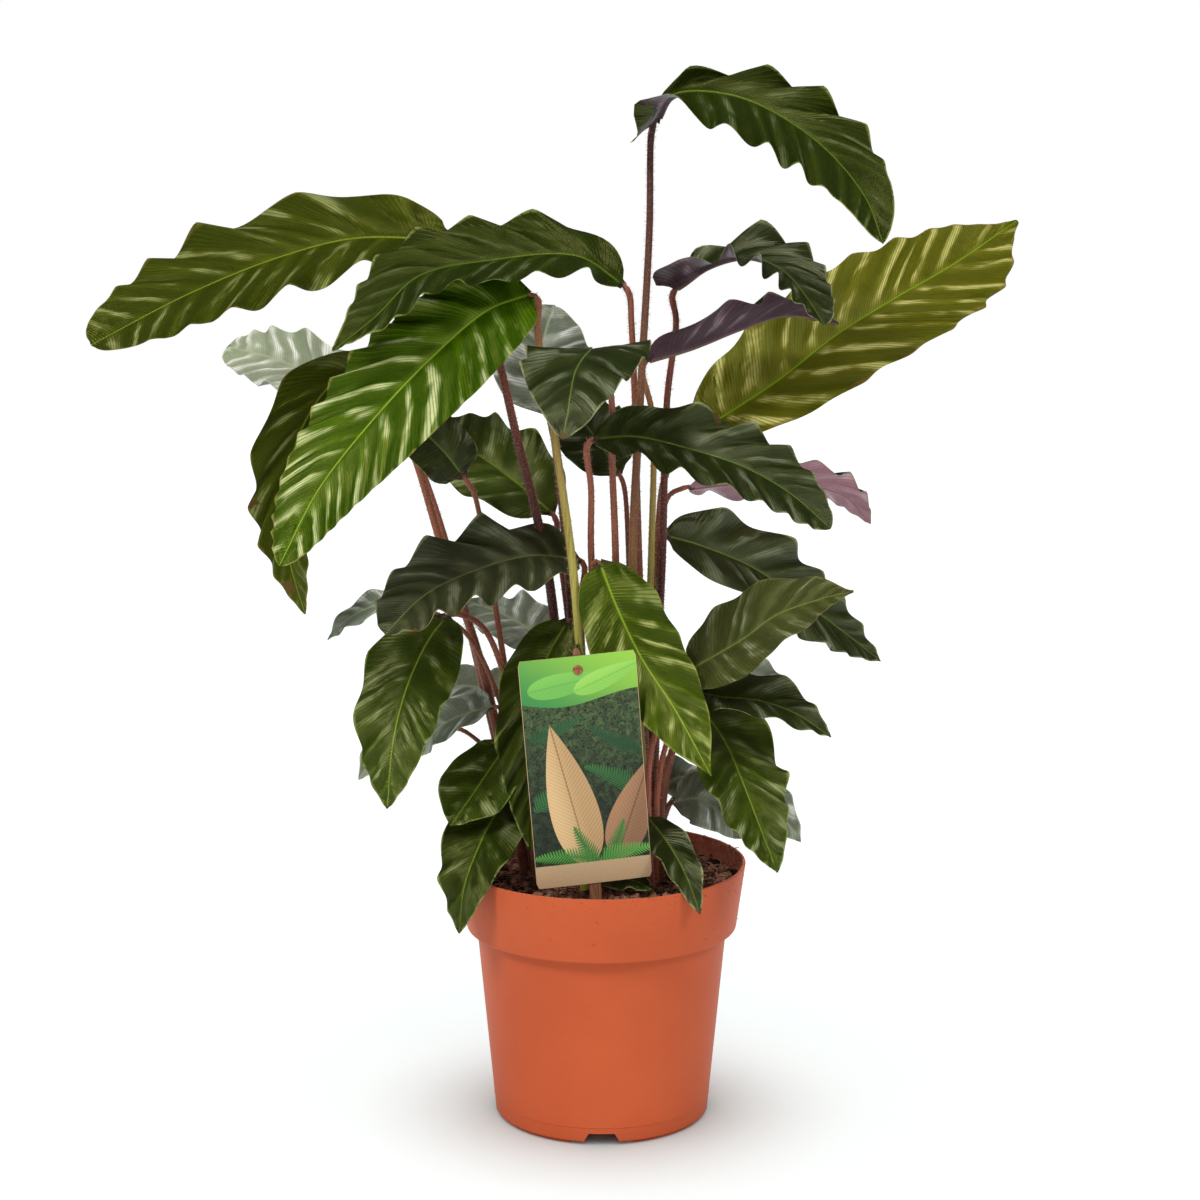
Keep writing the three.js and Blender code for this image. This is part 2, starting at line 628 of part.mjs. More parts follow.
function soilGeometry() {
  const bottom = floorTop + fit;
  const step = stepHeight + fit;
  const geometry = latheUpright(
    [
      [0, bottom],
      [bodyInside(bottom) - fit, bottom],
      [bodyInside(bodyHeight) - fit, step],
      [collarInside(stepHeight) - fit, step],
      [collarInside(soilHeight) - 3 * fit, soilHeight],
      ...soilRings.map((radius) => [radius, soilHeight]),
    ],
    soilSides
  );
  const position = geometry.attributes.position;
  for (let i = 0; i < position.count; i += 1) {
    const x = position.getX(i);
    const y = position.getY(i);
    const onTop = position.getZ(i) > soilHeight - fit;
    const offTheWall = Math.hypot(x, y) < soilRings[0] + fit;
    if (onTop && offTheWall) position.setZ(i, soilHeight + uneven(x, y));
  }
  let solid = solidOf(geometry);
  for (const shoot of Object.values(shoots)) {
    const radius = shoot.radius + fit;
    const hole = new THREE.CylinderGeometry(radius, radius, 2 * crownDepth, crownSides);
    hole.rotateX(Math.PI / 2).translate(shoot.foot[0], -shoot.foot[1], soilHeight - fit);
    solid = solid.subtract(solidOf(hole));
  }
  solid = solid.subtract(solidOf(stakeGeometry(fit)));
  return geometryOf(solid);
}

// The label's own directions: up along the stake, sideways across the card, forwards to the viewer.
const stakeFoot = place(labelStakeFoot);
const stakeTip = place(labelStakeTip);
const labelUp = stakeTip.clone().sub(stakeFoot).normalize();
const labelLevel = new THREE.Vector3(Math.cos(labelTurn), Math.sin(labelTurn), 0);
const labelSide = labelLevel.projectOnPlane(labelUp).normalize();
const labelBack = labelUp.clone().cross(labelSide).normalize();
const labelFrame = new THREE.Matrix4().makeBasis(labelSide, labelBack, labelUp);
const cardDepth = labelStakeThickness / 2 + fit + labelCardThickness / 2;
const pinHeadDepth = cardDepth + labelCardThickness / 2 + fit + labelPinHeadHeight / 2;

function alongLabel(height) {
  const share = (height - stakeFoot.z) / (stakeTip.z - stakeFoot.z);
  return stakeFoot.clone().lerp(stakeTip, share);
}

function stakeGeometry(margin) {
  const width = labelStakeWidth + 2 * margin;
  const thickness = labelStakeThickness + 2 * margin;
  const length = stakeFoot.distanceTo(stakeTip) + 2 * margin;
  const box = new THREE.BoxGeometry(width, thickness, length);
  return box.applyMatrix4(labelFrame).translate(...stakeFoot.clone().lerp(stakeTip, 0.5));
}

const pinCentre = alongLabel(labelCardTop - labelPinDrop);

function pinShank(margin) {
  const radius = labelPinRadius + margin;
  const shank = new THREE.CylinderGeometry(radius, radius, labelPinLength, labelPinSides);
  shank.translate(0, labelPinLength / 2 - pinHeadDepth, 0);
  return shank.applyMatrix4(labelFrame).translate(...pinCentre);
}

function pinGeometry() {
  const head = new THREE.CylinderGeometry(
    labelPinHeadRadius,
    labelPinHeadRadius,
    labelPinHeadHeight,
    labelPinSides
  );
  head.translate(0, -pinHeadDepth, 0).applyMatrix4(labelFrame).translate(...pinCentre);
  return geometryOf(solidOf(head).add(solidOf(pinShank(0))));
}

function cardGeometry() {
  const box = new THREE.BoxGeometry(labelCardWidth, labelCardThickness, labelCardHeight);
  box.translate(0, -cardDepth, -labelCardHeight / 2);
  box.applyMatrix4(labelFrame).translate(...alongLabel(labelCardTop));
  return geometryOf(solidOf(box).subtract(solidOf(pinShank(fit))));
}

function drilledStakeGeometry() {
  return geometryOf(solidOf(stakeGeometry(0)).subtract(solidOf(pinShank(fit))));
}

const plant = new THREE.Group();
plant.add(part('pot', potGeometry(), potMaterial()));
plant.add(part('soil', soilGeometry(), soilMaterial()));
plant.add(part('label_stake', drilledStakeGeometry(), stakeMaterial()));
plant.add(part('label_card', cardGeometry(), cardMaterial()));
plant.add(part('label_pin', pinGeometry(), pinMaterial()));
for (const name of Object.keys(shoots)) {
  plant.add(part(`stalks_${name}`, shootGeometry(name), stalkMaterial()));
}
for (const [name, leaf] of Object.entries(leaves)) {
  plant.add(part(`leaf_${name}`, leafGeometry(leaf), leafMaterial()));
}

// The leaves reach further to one side, so the finished plant is moved until its outline is centred.
const extent = new THREE.Box3().setFromObject(plant);
const centre = extent.getCenter(new THREE.Vector3());
plant.position.set(-centre.x, -centre.y, 0);

export default plant;
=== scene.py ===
import json
import math

import bpy
import numpy as np
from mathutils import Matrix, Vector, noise

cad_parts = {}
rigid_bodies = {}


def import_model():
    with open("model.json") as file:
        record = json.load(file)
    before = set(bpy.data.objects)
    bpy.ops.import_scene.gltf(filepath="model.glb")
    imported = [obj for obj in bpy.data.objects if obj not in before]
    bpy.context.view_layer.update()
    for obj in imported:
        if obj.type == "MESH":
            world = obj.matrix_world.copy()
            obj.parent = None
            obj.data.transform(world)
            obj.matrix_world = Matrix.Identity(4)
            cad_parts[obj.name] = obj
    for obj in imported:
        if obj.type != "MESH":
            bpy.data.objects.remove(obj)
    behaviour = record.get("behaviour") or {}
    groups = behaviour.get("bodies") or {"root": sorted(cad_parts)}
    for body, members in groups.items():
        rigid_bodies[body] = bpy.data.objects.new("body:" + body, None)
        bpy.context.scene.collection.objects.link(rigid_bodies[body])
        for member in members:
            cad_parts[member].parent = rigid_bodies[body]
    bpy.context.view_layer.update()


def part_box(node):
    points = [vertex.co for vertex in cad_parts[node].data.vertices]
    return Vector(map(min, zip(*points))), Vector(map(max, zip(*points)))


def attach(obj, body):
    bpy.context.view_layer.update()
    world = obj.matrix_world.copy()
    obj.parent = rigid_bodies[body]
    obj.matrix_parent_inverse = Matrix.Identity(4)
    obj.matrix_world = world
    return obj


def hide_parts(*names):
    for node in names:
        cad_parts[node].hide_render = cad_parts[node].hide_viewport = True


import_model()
scene = bpy.context.scene
potLow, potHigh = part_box("pot")
potMiddle = (potLow + potHigh) / 2
potAxis = (potMiddle.x, potMiddle.y, 0)

# Places below are (right, height, near) in millimetres from the foot of the pot's axis,
# as someone in front of the plant sees them.


def toFrame(places):
    places = np.asarray(places, float)
    x = potMiddle.x + places[..., 0] / 1000
    y = potMiddle.y - places[..., 2] / 1000
    return np.stack([x, y, places[..., 1] / 1000], -1)


def toFrameMm(places):
    return toFrame(places) * 1000


def paint(red, green, blue):
    def linear(value):
        value = value / 255
        return value / 12.92 if value <= 0.04045 else ((value + 0.055) / 1.055) ** 2.4
    return (linear(red), linear(green), linear(blue), 1)


def unit(vectors):
    length = np.linalg.norm(vectors, axis=-1, keepdims=True)
    return vectors / np.maximum(length, 1e-9)


def smoothStep(low, high, value):
    share = np.clip((value - low) / (high - low), 0, 1)
    return share * share * (3 - 2 * share)


# A smooth line through points, as evenly spaced as its corners allow.
def smoothLine(points, steps=40):
    points = np.asarray(points, float)
    points = np.vstack([2 * points[0] - points[1], points, 2 * points[-1] - points[-2]])
    line = []
    for before, start, end, after in zip(points, points[1:], points[2:], points[3:]):
        gaps = [max(np.linalg.norm(b - a) ** 0.5, 1e-4)
                for a, b in ((before, start), (start, end), (end, after))]
        leave = ((start - before) / gaps[0] - (end - before) / (gaps[0] + gaps[1])
                 + (end - start) / gaps[1]) * gaps[1]
        arrive = ((end - start) / gaps[1] - (after - start) / (gaps[1] + gaps[2])
                  + (after - end) / gaps[2]) * gaps[1]
        for share in np.linspace(0, 1, steps, endpoint=False):
            square, cube = share ** 2, share ** 3
            line.append(
                start + leave * share
                + (3 * (end - start) - 2 * leave - arrive) * square
                + (2 * (start - end) + leave + arrive) * cube
            )
    line.append(points[-2])
    return np.array(line)


def lineLengths(line):
    return np.concatenate([[0], np.cumsum(np.linalg.norm(np.diff(line, axis=0), axis=1))])


# Points at shares 0 to 1 of a line's length.
def alongLine(line, share):
    lengths = lineLengths(line)
    at = np.clip(share, 0, 1) * lengths[-1]
    return np.stack([np.interp(at, lengths, line[:, axis]) for axis in range(3)], -1)


def lineDirection(line, share):
    step = 0.006
    return unit(alongLine(line, np.clip(share + step, 0, 1)) - alongLine(line, np.clip(share - step, 0, 1)))


# Volume that a closed mesh encloses, negative where its faces look inwards.
def enclosedVolume(points, faces):
    total = 0
    for count in (3, 4):
        group = np.array([face for face in faces if len(face) == count])
        for second in range(1, count - 1):
            if len(group):
                a, b, c = points[group[:, 0]], points[group[:, second]], points[group[:, second + 1]]
                total += np.sum(a * np.cross(b, c))
    return total / 6


# A mesh object from points in metres. Values by point become attributes of that name.
def makePiece(name, points, faces, materials, faceSlots=None, values=None, uv=None, sharp=None):
    points = np.asarray(points, float)
    if enclosedVolume(points, faces) < 0:
        faces = [tuple(reversed(face)) for face in faces]
    mesh = bpy.data.meshes.new(name)
    mesh.from_pydata(points.tolist(), [], [list(map(int, face)) for face in faces])
    for material in materials:
        mesh.materials.append(material)
    if faceSlots is not None:
        mesh.polygons.foreach_set("material_index", np.asarray(faceSlots, np.int32))
    for key, data in (values or {}).items():
        data = np.asarray(data, np.float32)
        kind = "FLOAT_COLOR" if data.ndim == 2 else "FLOAT"
        layer = mesh.attributes.new(key, kind, "POINT")
        layer.data.foreach_set("color" if data.ndim == 2 else "value", data.ravel())
    if uv is not None:
        corners = np.zeros(len(mesh.loops), np.int32)
        mesh.loops.foreach_get("vertex_index", corners)
        mesh.uv_layers.new(name="UVMap").data.foreach_set("uv", np.asarray(uv, np.float32)[corners].ravel())
    mesh.shade_smooth()
    if sharp:
        mesh.set_sharp_from_angle(angle=math.radians(sharp))
    mesh.update()
    piece = bpy.data.objects.new(name, mesh)
    scene.collection.objects.link(piece)
    return piece


def settle(piece, slot, *nodes):
    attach(piece, "root")
    if nodes:
        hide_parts(*nodes)
    return piece


# Faces of a grid of points, rows by columns, closed round its columns where it is a tube.
def gridFaces(rows, columns, first=0, round=False):
    faces = []
    last = columns if round else columns - 1
    for row in range(rows - 1):
        for column in range(last):
            a = first + row * columns + column
            b = first + row * columns + (column + 1) % columns
            faces.append((a, b, b + columns, a + columns))
    return faces


# Faces that join the outlines of two grids of points, the second straight after the first.
def rimFaces(rows, columns):
    count = rows * columns
    loop = list(range(columns))
    loop += [row * columns + columns - 1 for row in range(1, rows)]
    loop += [count - 1 - column for column in range(1, columns)]
    loop += [row * columns for row in range(rows - 2, 0, -1)]
    return [(b, a, a + count, b + count) for a, b in zip(loop, loop[1:] + loop[:1])]


# Faces and face slots of a sheet: one grid of points for its front, one for its back, and its rim.
def sheetFaces(rows, columns, rimSlot):
    front = gridFaces(rows, columns)
    back = [tuple(reversed(face)) for face in gridFaces(rows, columns, first=rows * columns)]
    rim = rimFaces(rows, columns)
    return front + back + rim, [0] * len(front) + [1] * len(back) + [rimSlot] * len(rim)


# Faces of rings of points that have one point before them and one after.
def cappedFaces(rings, sides):
    faces = gridFaces(rings, sides, first=1, round=True)
    end = 1 + rings * sides
    for side in range(sides):
        following = (side + 1) % sides
        faces.append((0, 1 + following, 1 + side))
        faces.append((end, end - sides + side, end - sides + following))
    return faces


# A body turned round an upright axis from (radius, height) pairs. Its first and last radius is 0.
def turned(profile, sides, centre=(0, 0)):
    points = [(centre[0], centre[1], profile[0][1])]
    for radius, height in profile[1:-1]:
        for side in range(sides):
            angle = 2 * math.pi * side / sides
            points.append((centre[0] + radius * math.cos(angle), centre[1] + radius * math.sin(angle),
                           height))
    points.append((centre[0], centre[1], profile[-1][1]))
    return np.array(points), cappedFaces(len(profile) - 2, sides)


# A closed tube with rounded ends along a line, its radius given at every ring.
def tube(line, radii, sides):
    direction = unit(np.gradient(line, axis=0))
    side = unit(np.cross(direction[0], (0.3, 1, 0.2)))
    points = [line[0] - direction[0] * radii[0] * 0.5]
    for centre, way, radius in zip(line, direction, radii):
        side = unit(side - way * np.dot(side, way))
        other = np.cross(way, side)
        for step in range(sides):
            angle = 2 * math.pi * step / sides
            points.append(centre + radius * (side * math.cos(angle) + other * math.sin(angle)))
    points.append(line[-1] + direction[-1] * radii[-1] * 0.5)
    return np.array(points), cappedFaces(len(line), sides)


# Sets a node's inputs, by a link where a value comes from another node.
def fill(node, inputs):
    for key, value in inputs.items():
        if isinstance(value, bpy.types.NodeSocket):
            node.id_data.links.new(value, node.inputs[key])
        else:
            node.inputs[key].default_value = value
    return node


# The same by name, with underscores for spaces.
def feed(node, **values):
    fill(node, {key.replace("_", " "): value for key, value in values.items()})


def addNode(tree, kind, inputs=None, **settings):
    node = tree.nodes.new(kind)
    for key, value in settings.items():
        setattr(node, key, value)
    return fill(node, inputs or {})


def calc(tree, operation, first, second=0.0, third=0.0, clamp=False):
    inputs = {0: first, 1: second, 2: third}
    return addNode(tree, "ShaderNodeMath", inputs, operation=operation, use_clamp=clamp).outputs[0]


def times(tree, first, second, clamp=False):
    return calc(tree, "MULTIPLY", first, second, clamp=clamp)


def plus(tree, first, second, clamp=False):
    return calc(tree, "ADD", first, second, clamp=clamp)


def minus(tree, first, second, clamp=False):
    return calc(tree, "SUBTRACT", first, second, clamp=clamp)


def timesPlus(tree, first, factor, offset, clamp=False):
    return calc(tree, "MULTIPLY_ADD", first, factor, offset, clamp)


def vectorCalc(tree, operation, first, second=(0, 0, 0), output="Vector"):
    return addNode(tree, "ShaderNodeVectorMath", {0: first, 1: second}, operation=operation).outputs[output]


# The level way from an upright axis to a place.
def fromAxis(tree, place, axis):
    return vectorCalc(tree, "MULTIPLY", vectorCalc(tree, "SUBTRACT", place, axis), (1, 1, 0))


# 0 to 1 as value goes from low to high, or back where low is the larger.
def rise(tree, value, low, high):
    inputs = {"Value": value, "From Min": low, "From Max": high}
    return addNode(tree, "ShaderNodeMapRange", inputs, interpolation_type="SMOOTHSTEP").outputs["Result"]


def mixPaint(tree, share, first, second):
    return addNode(tree, "ShaderNodeMix", {0: share, 6: first, 7: second}, data_type="RGBA").outputs[2]


def grain(tree, vector, scale, detail=2, roughness=0.5, distortion=0):
    inputs = {"Vector": vector, "Scale": scale, "Detail": detail, "Roughness": roughness,
              "Distortion": distortion}
    return addNode(tree, "ShaderNodeTexNoise", inputs).outputs["Fac"]


def stretched(tree, vector, scale):
    return addNode(tree, "ShaderNodeMapping", {"Vector": vector, "Scale": scale}).outputs[0]


def valueOf(tree, name, output="Fac"):
    return addNode(tree, "ShaderNodeAttribute", attribute_name=name).outputs[output]


def objectPlace(tree):
    return addNode(tree, "ShaderNodeTexCoord").outputs["Object"]


# A node group, what it is given and its output node. Sockets are (name, kind, value).
def makeGroup(name, inputs, outputs, treeKind="ShaderNodeTree"):
    tree = bpy.data.node_groups.new(name, treeKind)
    for title, kind, value in inputs:
        socket = tree.interface.new_socket(name=title, in_out="INPUT", socket_type="NodeSocket" + kind)
        if value is not None:
            socket.default_value = value
    for title, kind in outputs:
        tree.interface.new_socket(name=title, in_out="OUTPUT", socket_type="NodeSocket" + kind)
    return tree, tree.nodes.new("NodeGroupInput").outputs, tree.nodes.new("NodeGroupOutput")


def makeMaterial(name, roughness=0.5, **plain):
    material = bpy.data.materials.new(name)
    material.use_nodes = True
    surface = material.node_tree.nodes["Principled BSDF"]
    feed(surface, Roughness=roughness, **plain)
    return material, material.node_tree, surface


def addBump(tree, surface, height, strength, distance):
    inputs = {"Height": height, "Strength": strength, "Distance": distance}
    feed(surface, Normal=addNode(tree, "ShaderNodeBump", inputs).outputs["Normal"])


# What all blades share: mm between side veins and how far they wander, the strength and depth of the relief,
# the velvet of the undersides, dead patches, mottling and half the midrib's width in mm.
bladeLook = {
    "veinSpacing": 1.9, "veinWander": 5.0, "relief": (0.55, 0.0004), "velvet": 0.1,
    "dead": paint(84, 60, 30), "mottling": 0.4, "ribHalf": 0.6,
}
# What sets the kinds of blades apart: colours, and plain values.
toneColours = ("Deep", "Light", "Rib", "MarginAndRimHighlight", "PaintedSheenColour")
toneShares = ("Streaks", "PleatShading", "Veins", "Satin", "PaintedSheenCover", "Start")


# Blade pattern, read from what every leaf stores by point: its distance in millimetres along its side
# veins (ribMm), from the midrib (spineMm) and from the margin (edgeMm), its share of the length
# (along), the crest of its pleat (crest) and its dead patches (scorch).
def leafPattern():
    tree, given, result = makeGroup(
        "leafPattern",
        [(name, "Color", paint(90, 110, 50)) for name in toneColours]
        + [(name, "Float", 0.3) for name in toneShares]
        + [("Dead", "Color", bladeLook["dead"]), ("Mottling", "Float", bladeLook["mottling"]),
           ("RibHalf", "Float", bladeLook["ribHalf"])],
        [("Colour", "Color"), ("Roughness", "Float"), ("Height", "Float")],
    )
    place = objectPlace(tree)
    ribMm, spine, edge = valueOf(tree, "ribMm"), valueOf(tree, "spineMm"), valueOf(tree, "edgeMm")
    along, crest = valueOf(tree, "along"), valueOf(tree, "crest")
    broad = grain(tree, place, 55, detail=3)
    fine = grain(tree, place, 420, detail=3, roughness=0.6)
    grit = grain(tree, place, 2600, detail=1)
    # side veins with finer ones between
    turn = timesPlus(tree, ribMm, 2 * math.pi / bladeLook["veinSpacing"],
                     times(tree, broad, bladeLook["veinWander"]))
    wave = timesPlus(tree, calc(tree, "SINE", turn), 0.5, 0.5)
    narrow = timesPlus(tree, calc(tree, "SINE", times(tree, turn, 3.0)), 0.5, 0.5)
    lines = calc(tree, "POWER", wave, 5.0)
    # painted shade and light: the crests of the pleats lighter and their hollows darker
    pleatShading = times(tree, timesPlus(tree, crest, 0.5, 0.5), given["PleatShading"])
    streaks = times(tree, timesPlus(tree, narrow, 0.35, -0.1), given["Veins"])
    spots = times(tree, minus(tree, broad, 0.5), given["Mottling"])
    spots = timesPlus(tree, minus(tree, fine, 0.5), given["Mottling"], spots)
    light = plus(tree, plus(tree, pleatShading, streaks), spots, clamp=True)
    colour = mixPaint(tree, light, given["Deep"], given["Light"])
    # painted satin highlights: pale streaks along the crests of the pleats, standing in for light caught on
    # them
    alongVein = addNode(tree, "ShaderNodeCombineXYZ",
                        {0: times(tree, ribMm, 0.1), 1: times(tree, spine, 0.06)})
    patchy = grain(tree, alongVein.outputs[0], 1.0)
    patches = rise(tree, plus(tree, patchy, given["PaintedSheenCover"]), 0.44, 0.62)
    paintedSheenRidge = rise(tree, crest, -0.25, 1.0)
    paintedSheen = times(tree, times(tree, patches, paintedSheenRidge), rise(tree, spine, 0.5, 8.0))
    # the painted highlights fade in from the stalk up to the share of the length given by Start
    paintedSheen = times(tree, paintedSheen, rise(tree, along, 0.0, given["Start"]))
    paintedSheen = times(tree, paintedSheen, timesPlus(tree, lines, -0.45, timesPlus(tree, fine, 0.6, 0.7)))
    colour = mixPaint(tree, times(tree, paintedSheen, given["Streaks"], clamp=True), colour, given["PaintedSheenColour"])
    shaded = mixPaint(tree, 0.5, given["Deep"], paint(6, 8, 2))
    veins = times(tree, lines, times(tree, given["Veins"], 0.9), clamp=True)
    colour = mixPaint(tree, veins, colour, shaded)
    # midrib, narrowing to the tip, in a paler strip
    ribHalf = times(tree, timesPlus(tree, along, -0.8, 1.0), given["RibHalf"])
    ribShare = calc(tree, "DIVIDE", spine, plus(tree, ribHalf, 0.12))
    rib = rise(tree, ribShare, 1.15, 0.55)
    strip = times(tree, rise(tree, ribShare, 4.0, 0.8), 0.22)
    colour = mixPaint(tree, strip, colour, given["Light"])
    colour = mixPaint(tree, times(tree, rib, 0.8), colour, given["Rib"])
    # a pale margin: partly the blade's own colour, partly a painted rim highlight where light catches the
    # edge
    rim = times(tree, rise(tree, edge, 0.75, 0.1), rise(tree, fine, 0.25, 0.55))
    colour = mixPaint(tree, times(tree, rim, 0.75), colour, given["MarginAndRimHighlight"])
    dead = rise(tree, timesPlus(tree, minus(tree, fine, 0.5), 0.9, valueOf(tree, "scorch")), 0.35, 0.6)
    colour = mixPaint(tree, dead, colour, given["Dead"])
    rough = timesPlus(tree, minus(tree, fine, 0.5), 0.25, given["Satin"])
    rough = timesPlus(tree, dead, 0.3, timesPlus(tree, paintedSheen, 0.06, rough))
    height = timesPlus(tree, wave, 0.5, times(tree, narrow, 0.25))
    height = timesPlus(tree, fine, 0.45, height)
    height = timesPlus(tree, grit, 0.12, height)
    feed(result, Colour=colour, Roughness=rough, Height=height)
    return tree


bladePattern = leafPattern()

# Each kind of blade: its deep and light green, midrib, margin (partly a painted rim highlight) and the
# colour of its painted satin highlights; then how much the painted highlights, the painted pleat shading and
# the veins show, its roughness, how far the painted highlights cover it and from where along it; last how
# strongly it mirrors and the tint of its highlights.
leafTones = {
    "deep": (((24, 35, 2), (60, 70, 18), (92, 114, 42), (150, 150, 100), (146, 152, 124)),
             (0.42, 0.4, 0.5, 0.36, 0.0, 0.25), (0.55, 1, 1, 0.6)),
    "shade": (((28, 40, 2), (60, 76, 12), (92, 116, 32), (140, 150, 80), (140, 146, 110)),
              (0.36, 0.4, 0.5, 0.34, -0.02, 0.3), (0.45, 1, 1, 0.3)),
    "fresh": (((40, 56, 4), (84, 98, 16), (112, 140, 40), (140, 150, 80), (166, 174, 124)),
              (0.65, 0.4, 0.5, 0.33, 0.0, 0.3), (0.52, 1, 1, 0.4)),
    "bright": (((41, 71, 0), (85, 119, 2), (140, 166, 54), (150, 140, 78), (210, 216, 152)),
               (1.0, 0.5, 0.6, 0.34, 0.05, 0.5), (0.5, 1, 1, 0.2)),
    "leafy": (((46, 66, 0), (90, 110, 8), (132, 166, 36), (140, 146, 60), (188, 194, 116)),
              (0.9, 0.45, 0.6, 0.34, 0.0, 0.4), (0.5, 1, 1, 0.3)),
    "olive": (((44, 54, 2), (82, 92, 8), (124, 142, 38), (124, 104, 48), (172, 176, 112)),
              (0.6, 0.4, 0.6, 0.35, 0.0, 0.35), (0.42, 1, 1, 0.2)),
    "duller": (((64, 70, 26), (114, 118, 64), (124, 140, 60), (124, 110, 60), (172, 174, 138)),
               (0.6, 0.4, 0.6, 0.34, 0.0, 0.2), (0.5, 1, 1, 0.7)),
    "muted": (((40, 46, 20), (90, 92, 54), (104, 122, 56), (150, 150, 100), (146, 148, 124)),
              (0.4, 0.45, 0.5, 0.36, 0.0, 0.2), (0.55, 1, 1, 0.75)),
    "golden": (((76, 78, 2), (118, 114, 8), (110, 158, 18), (124, 98, 48), (202, 196, 116)),
               (0.85, 0.45, 0.7, 0.35, 0.03, 0.02), (0.42, 1, 1, 0.25)),
    # pale grey blades: a painted reflection, standing in for the white room mirrored in blades seen at a
    # glancing angle
    "silvery": (((98, 106, 84), (172, 178, 158), (150, 164, 104), (180, 176, 140), (230, 232, 222)),
                (0.9, 0.6, 0.4, 0.36, 0.04, 0.1), (0.6, 0.97, 1, 0.9)),
    "silver": (((138, 148, 116), (200, 204, 176), (160, 172, 126), (180, 174, 136), (240, 240, 228)),
               (0.9, 0.5, 0.35, 0.42, 0.04, 0.1), (0.5, 1, 1, 1)),
}
undersideTones = {
    "wine": (((54, 30, 38), (98, 62, 76), (110, 86, 66), (100, 100, 56), (168, 142, 154)),
             (0.6, 0.4, 0.5, 0.44, 0.02, 0.1), (0.4, 1, 0.9, 0.95)),
    "pink": (((146, 98, 110), (196, 152, 162), (110, 62, 68), (130, 130, 70), (216, 186, 194)),
             (0.6, 0.4, 0.5, 0.44, 0.0, 0.1), (0.3, 1, 0.9, 0.95)),
}


def leafMaterial(name, tone, velvet):
    colours, shares, (gloss, *glossTint) = tone
    mirroring = {"Specular_IOR_Level": gloss, "Specular_Tint": (*glossTint, 1)}
    material, tree, surface = makeMaterial(name, Sheen_Weight=velvet, Sheen_Roughness=0.4, **mirroring)
    look = {key: paint(*colour) for key, colour in zip(toneColours, colours)}
    look.update(zip(toneShares, shares))
    pattern = addNode(tree, "ShaderNodeGroup", look, node_tree=bladePattern).outputs
    feed(surface, Base_Color=pattern["Colour"], Roughness=pattern["Roughness"])
    addBump(tree, surface, pattern["Height"], *bladeLook["relief"])
    return material


upperFinish = {tone: leafMaterial(tone + "Leaf", look, 0) for tone, look in leafTones.items()}
underFinish = {tone: leafMaterial(tone + "Underside", look, bladeLook["velvet"])
               for tone, look in undersideTones.items()}


# Speckles and smears of potting dirt: a mask, and a small height for it.
def dirtGroup():
    tree, given, result = makeGroup(
        "potDirt",
        [("Vector", "Vector", None), ("Amount", "Float", 0.3), ("Scale", "Float", 300)],
        [("Mask", "Float"), ("Height", "Float")],
    )
    vector = given["Vector"]
    inputs = {"Vector": vector, "Scale": given["Scale"], "Randomness": 1}
    cells = addNode(tree, "ShaderNodeTexVoronoi", inputs).outputs["Distance"]
    patches = grain(tree, vector, 28, detail=4)
    limit = times(tree, given["Amount"], rise(tree, patches, 0.42, 0.68))
    dots = rise(tree, minus(tree, cells, limit), 0.04, -0.04)
    smear = times(tree, rise(tree, grain(tree, vector, 120, detail=5), 0.52, 0.78), limit)
    mask = plus(tree, dots, smear, clamp=True)
    feed(result, Mask=mask, Height=dots)
    return tree


dirt = dirtGroup()

# Colours of everything but the blades. Where there are two, a finish goes from the first to the second.
finishColours = {
    "stalkStreak": paint(70, 34, 30), "stalkFleck": paint(200, 150, 110), "hair": paint(214, 170, 140),
    "pot": (paint(186, 82, 46), paint(196, 90, 52)), "potScuff": paint(214, 122, 86),
    "potInside": paint(226, 160, 136), "potDirt": paint(58, 34, 26),
    "soil": (paint(16, 10, 8), paint(54, 34, 26)), "crumb": (paint(26, 15, 11), paint(186, 126, 96)),
    "rootFibre": (paint(74, 46, 34), paint(210, 156, 122)), "soilGlint": paint(150, 112, 78),
    "wood": (paint(104, 64, 44), paint(158, 106, 76)), "copper": (paint(180, 112, 82), paint(132, 78, 56)),
    "kraft": (paint(176, 142, 104), paint(206, 176, 138)), "kraftFleck": paint(120, 88, 58),
    "printShade": (paint(16, 22, 16), paint(84, 104, 64)), "printLit": paint(112, 138, 84),
    "printBand": (paint(58, 136, 72), paint(148, 200, 70)),
    "printStrip": (paint(184, 150, 112), paint(212, 184, 146)),
}


def stalkFinish():
    material, tree, surface = makeMaterial("hairyStalk", Sheen_Weight=0.1, Specular_IOR_Level=0.3)
    place = objectPlace(tree)
    tint = valueOf(tree, "tint", "Color")
    streak = grain(tree, stretched(tree, place, (900, 900, 45)), 1, detail=3)
    fleck = grain(tree, place, 1400, detail=2)
    dark = times(tree, rise(tree, streak, 0.45, 0.75), 0.5)
    colour = mixPaint(tree, dark, tint, finishColours["stalkStreak"])
    flecks = times(tree, rise(tree, fleck, 0.55, 0.7), 0.35)
    colour = mixPaint(tree, flecks, colour, finishColours["stalkFleck"])
    feed(surface, Base_Color=colour, Roughness=timesPlus(tree, fleck, 0.3, 0.35))
    addBump(tree, surface, plus(tree, streak, fleck), 0.4, 0.0003)
    return material


def hairFinish():
    material, tree, surface = makeMaterial("stalkHair", roughness=0.45, Sheen_Weight=0.3)
    tint = valueOf(tree, "tint", "Color")
    pale = timesPlus(tree, valueOf(tree, "chance"), 0.5, 0.25)
    feed(surface, Base_Color=mixPaint(tree, pale, tint, finishColours["hair"]))
    return material


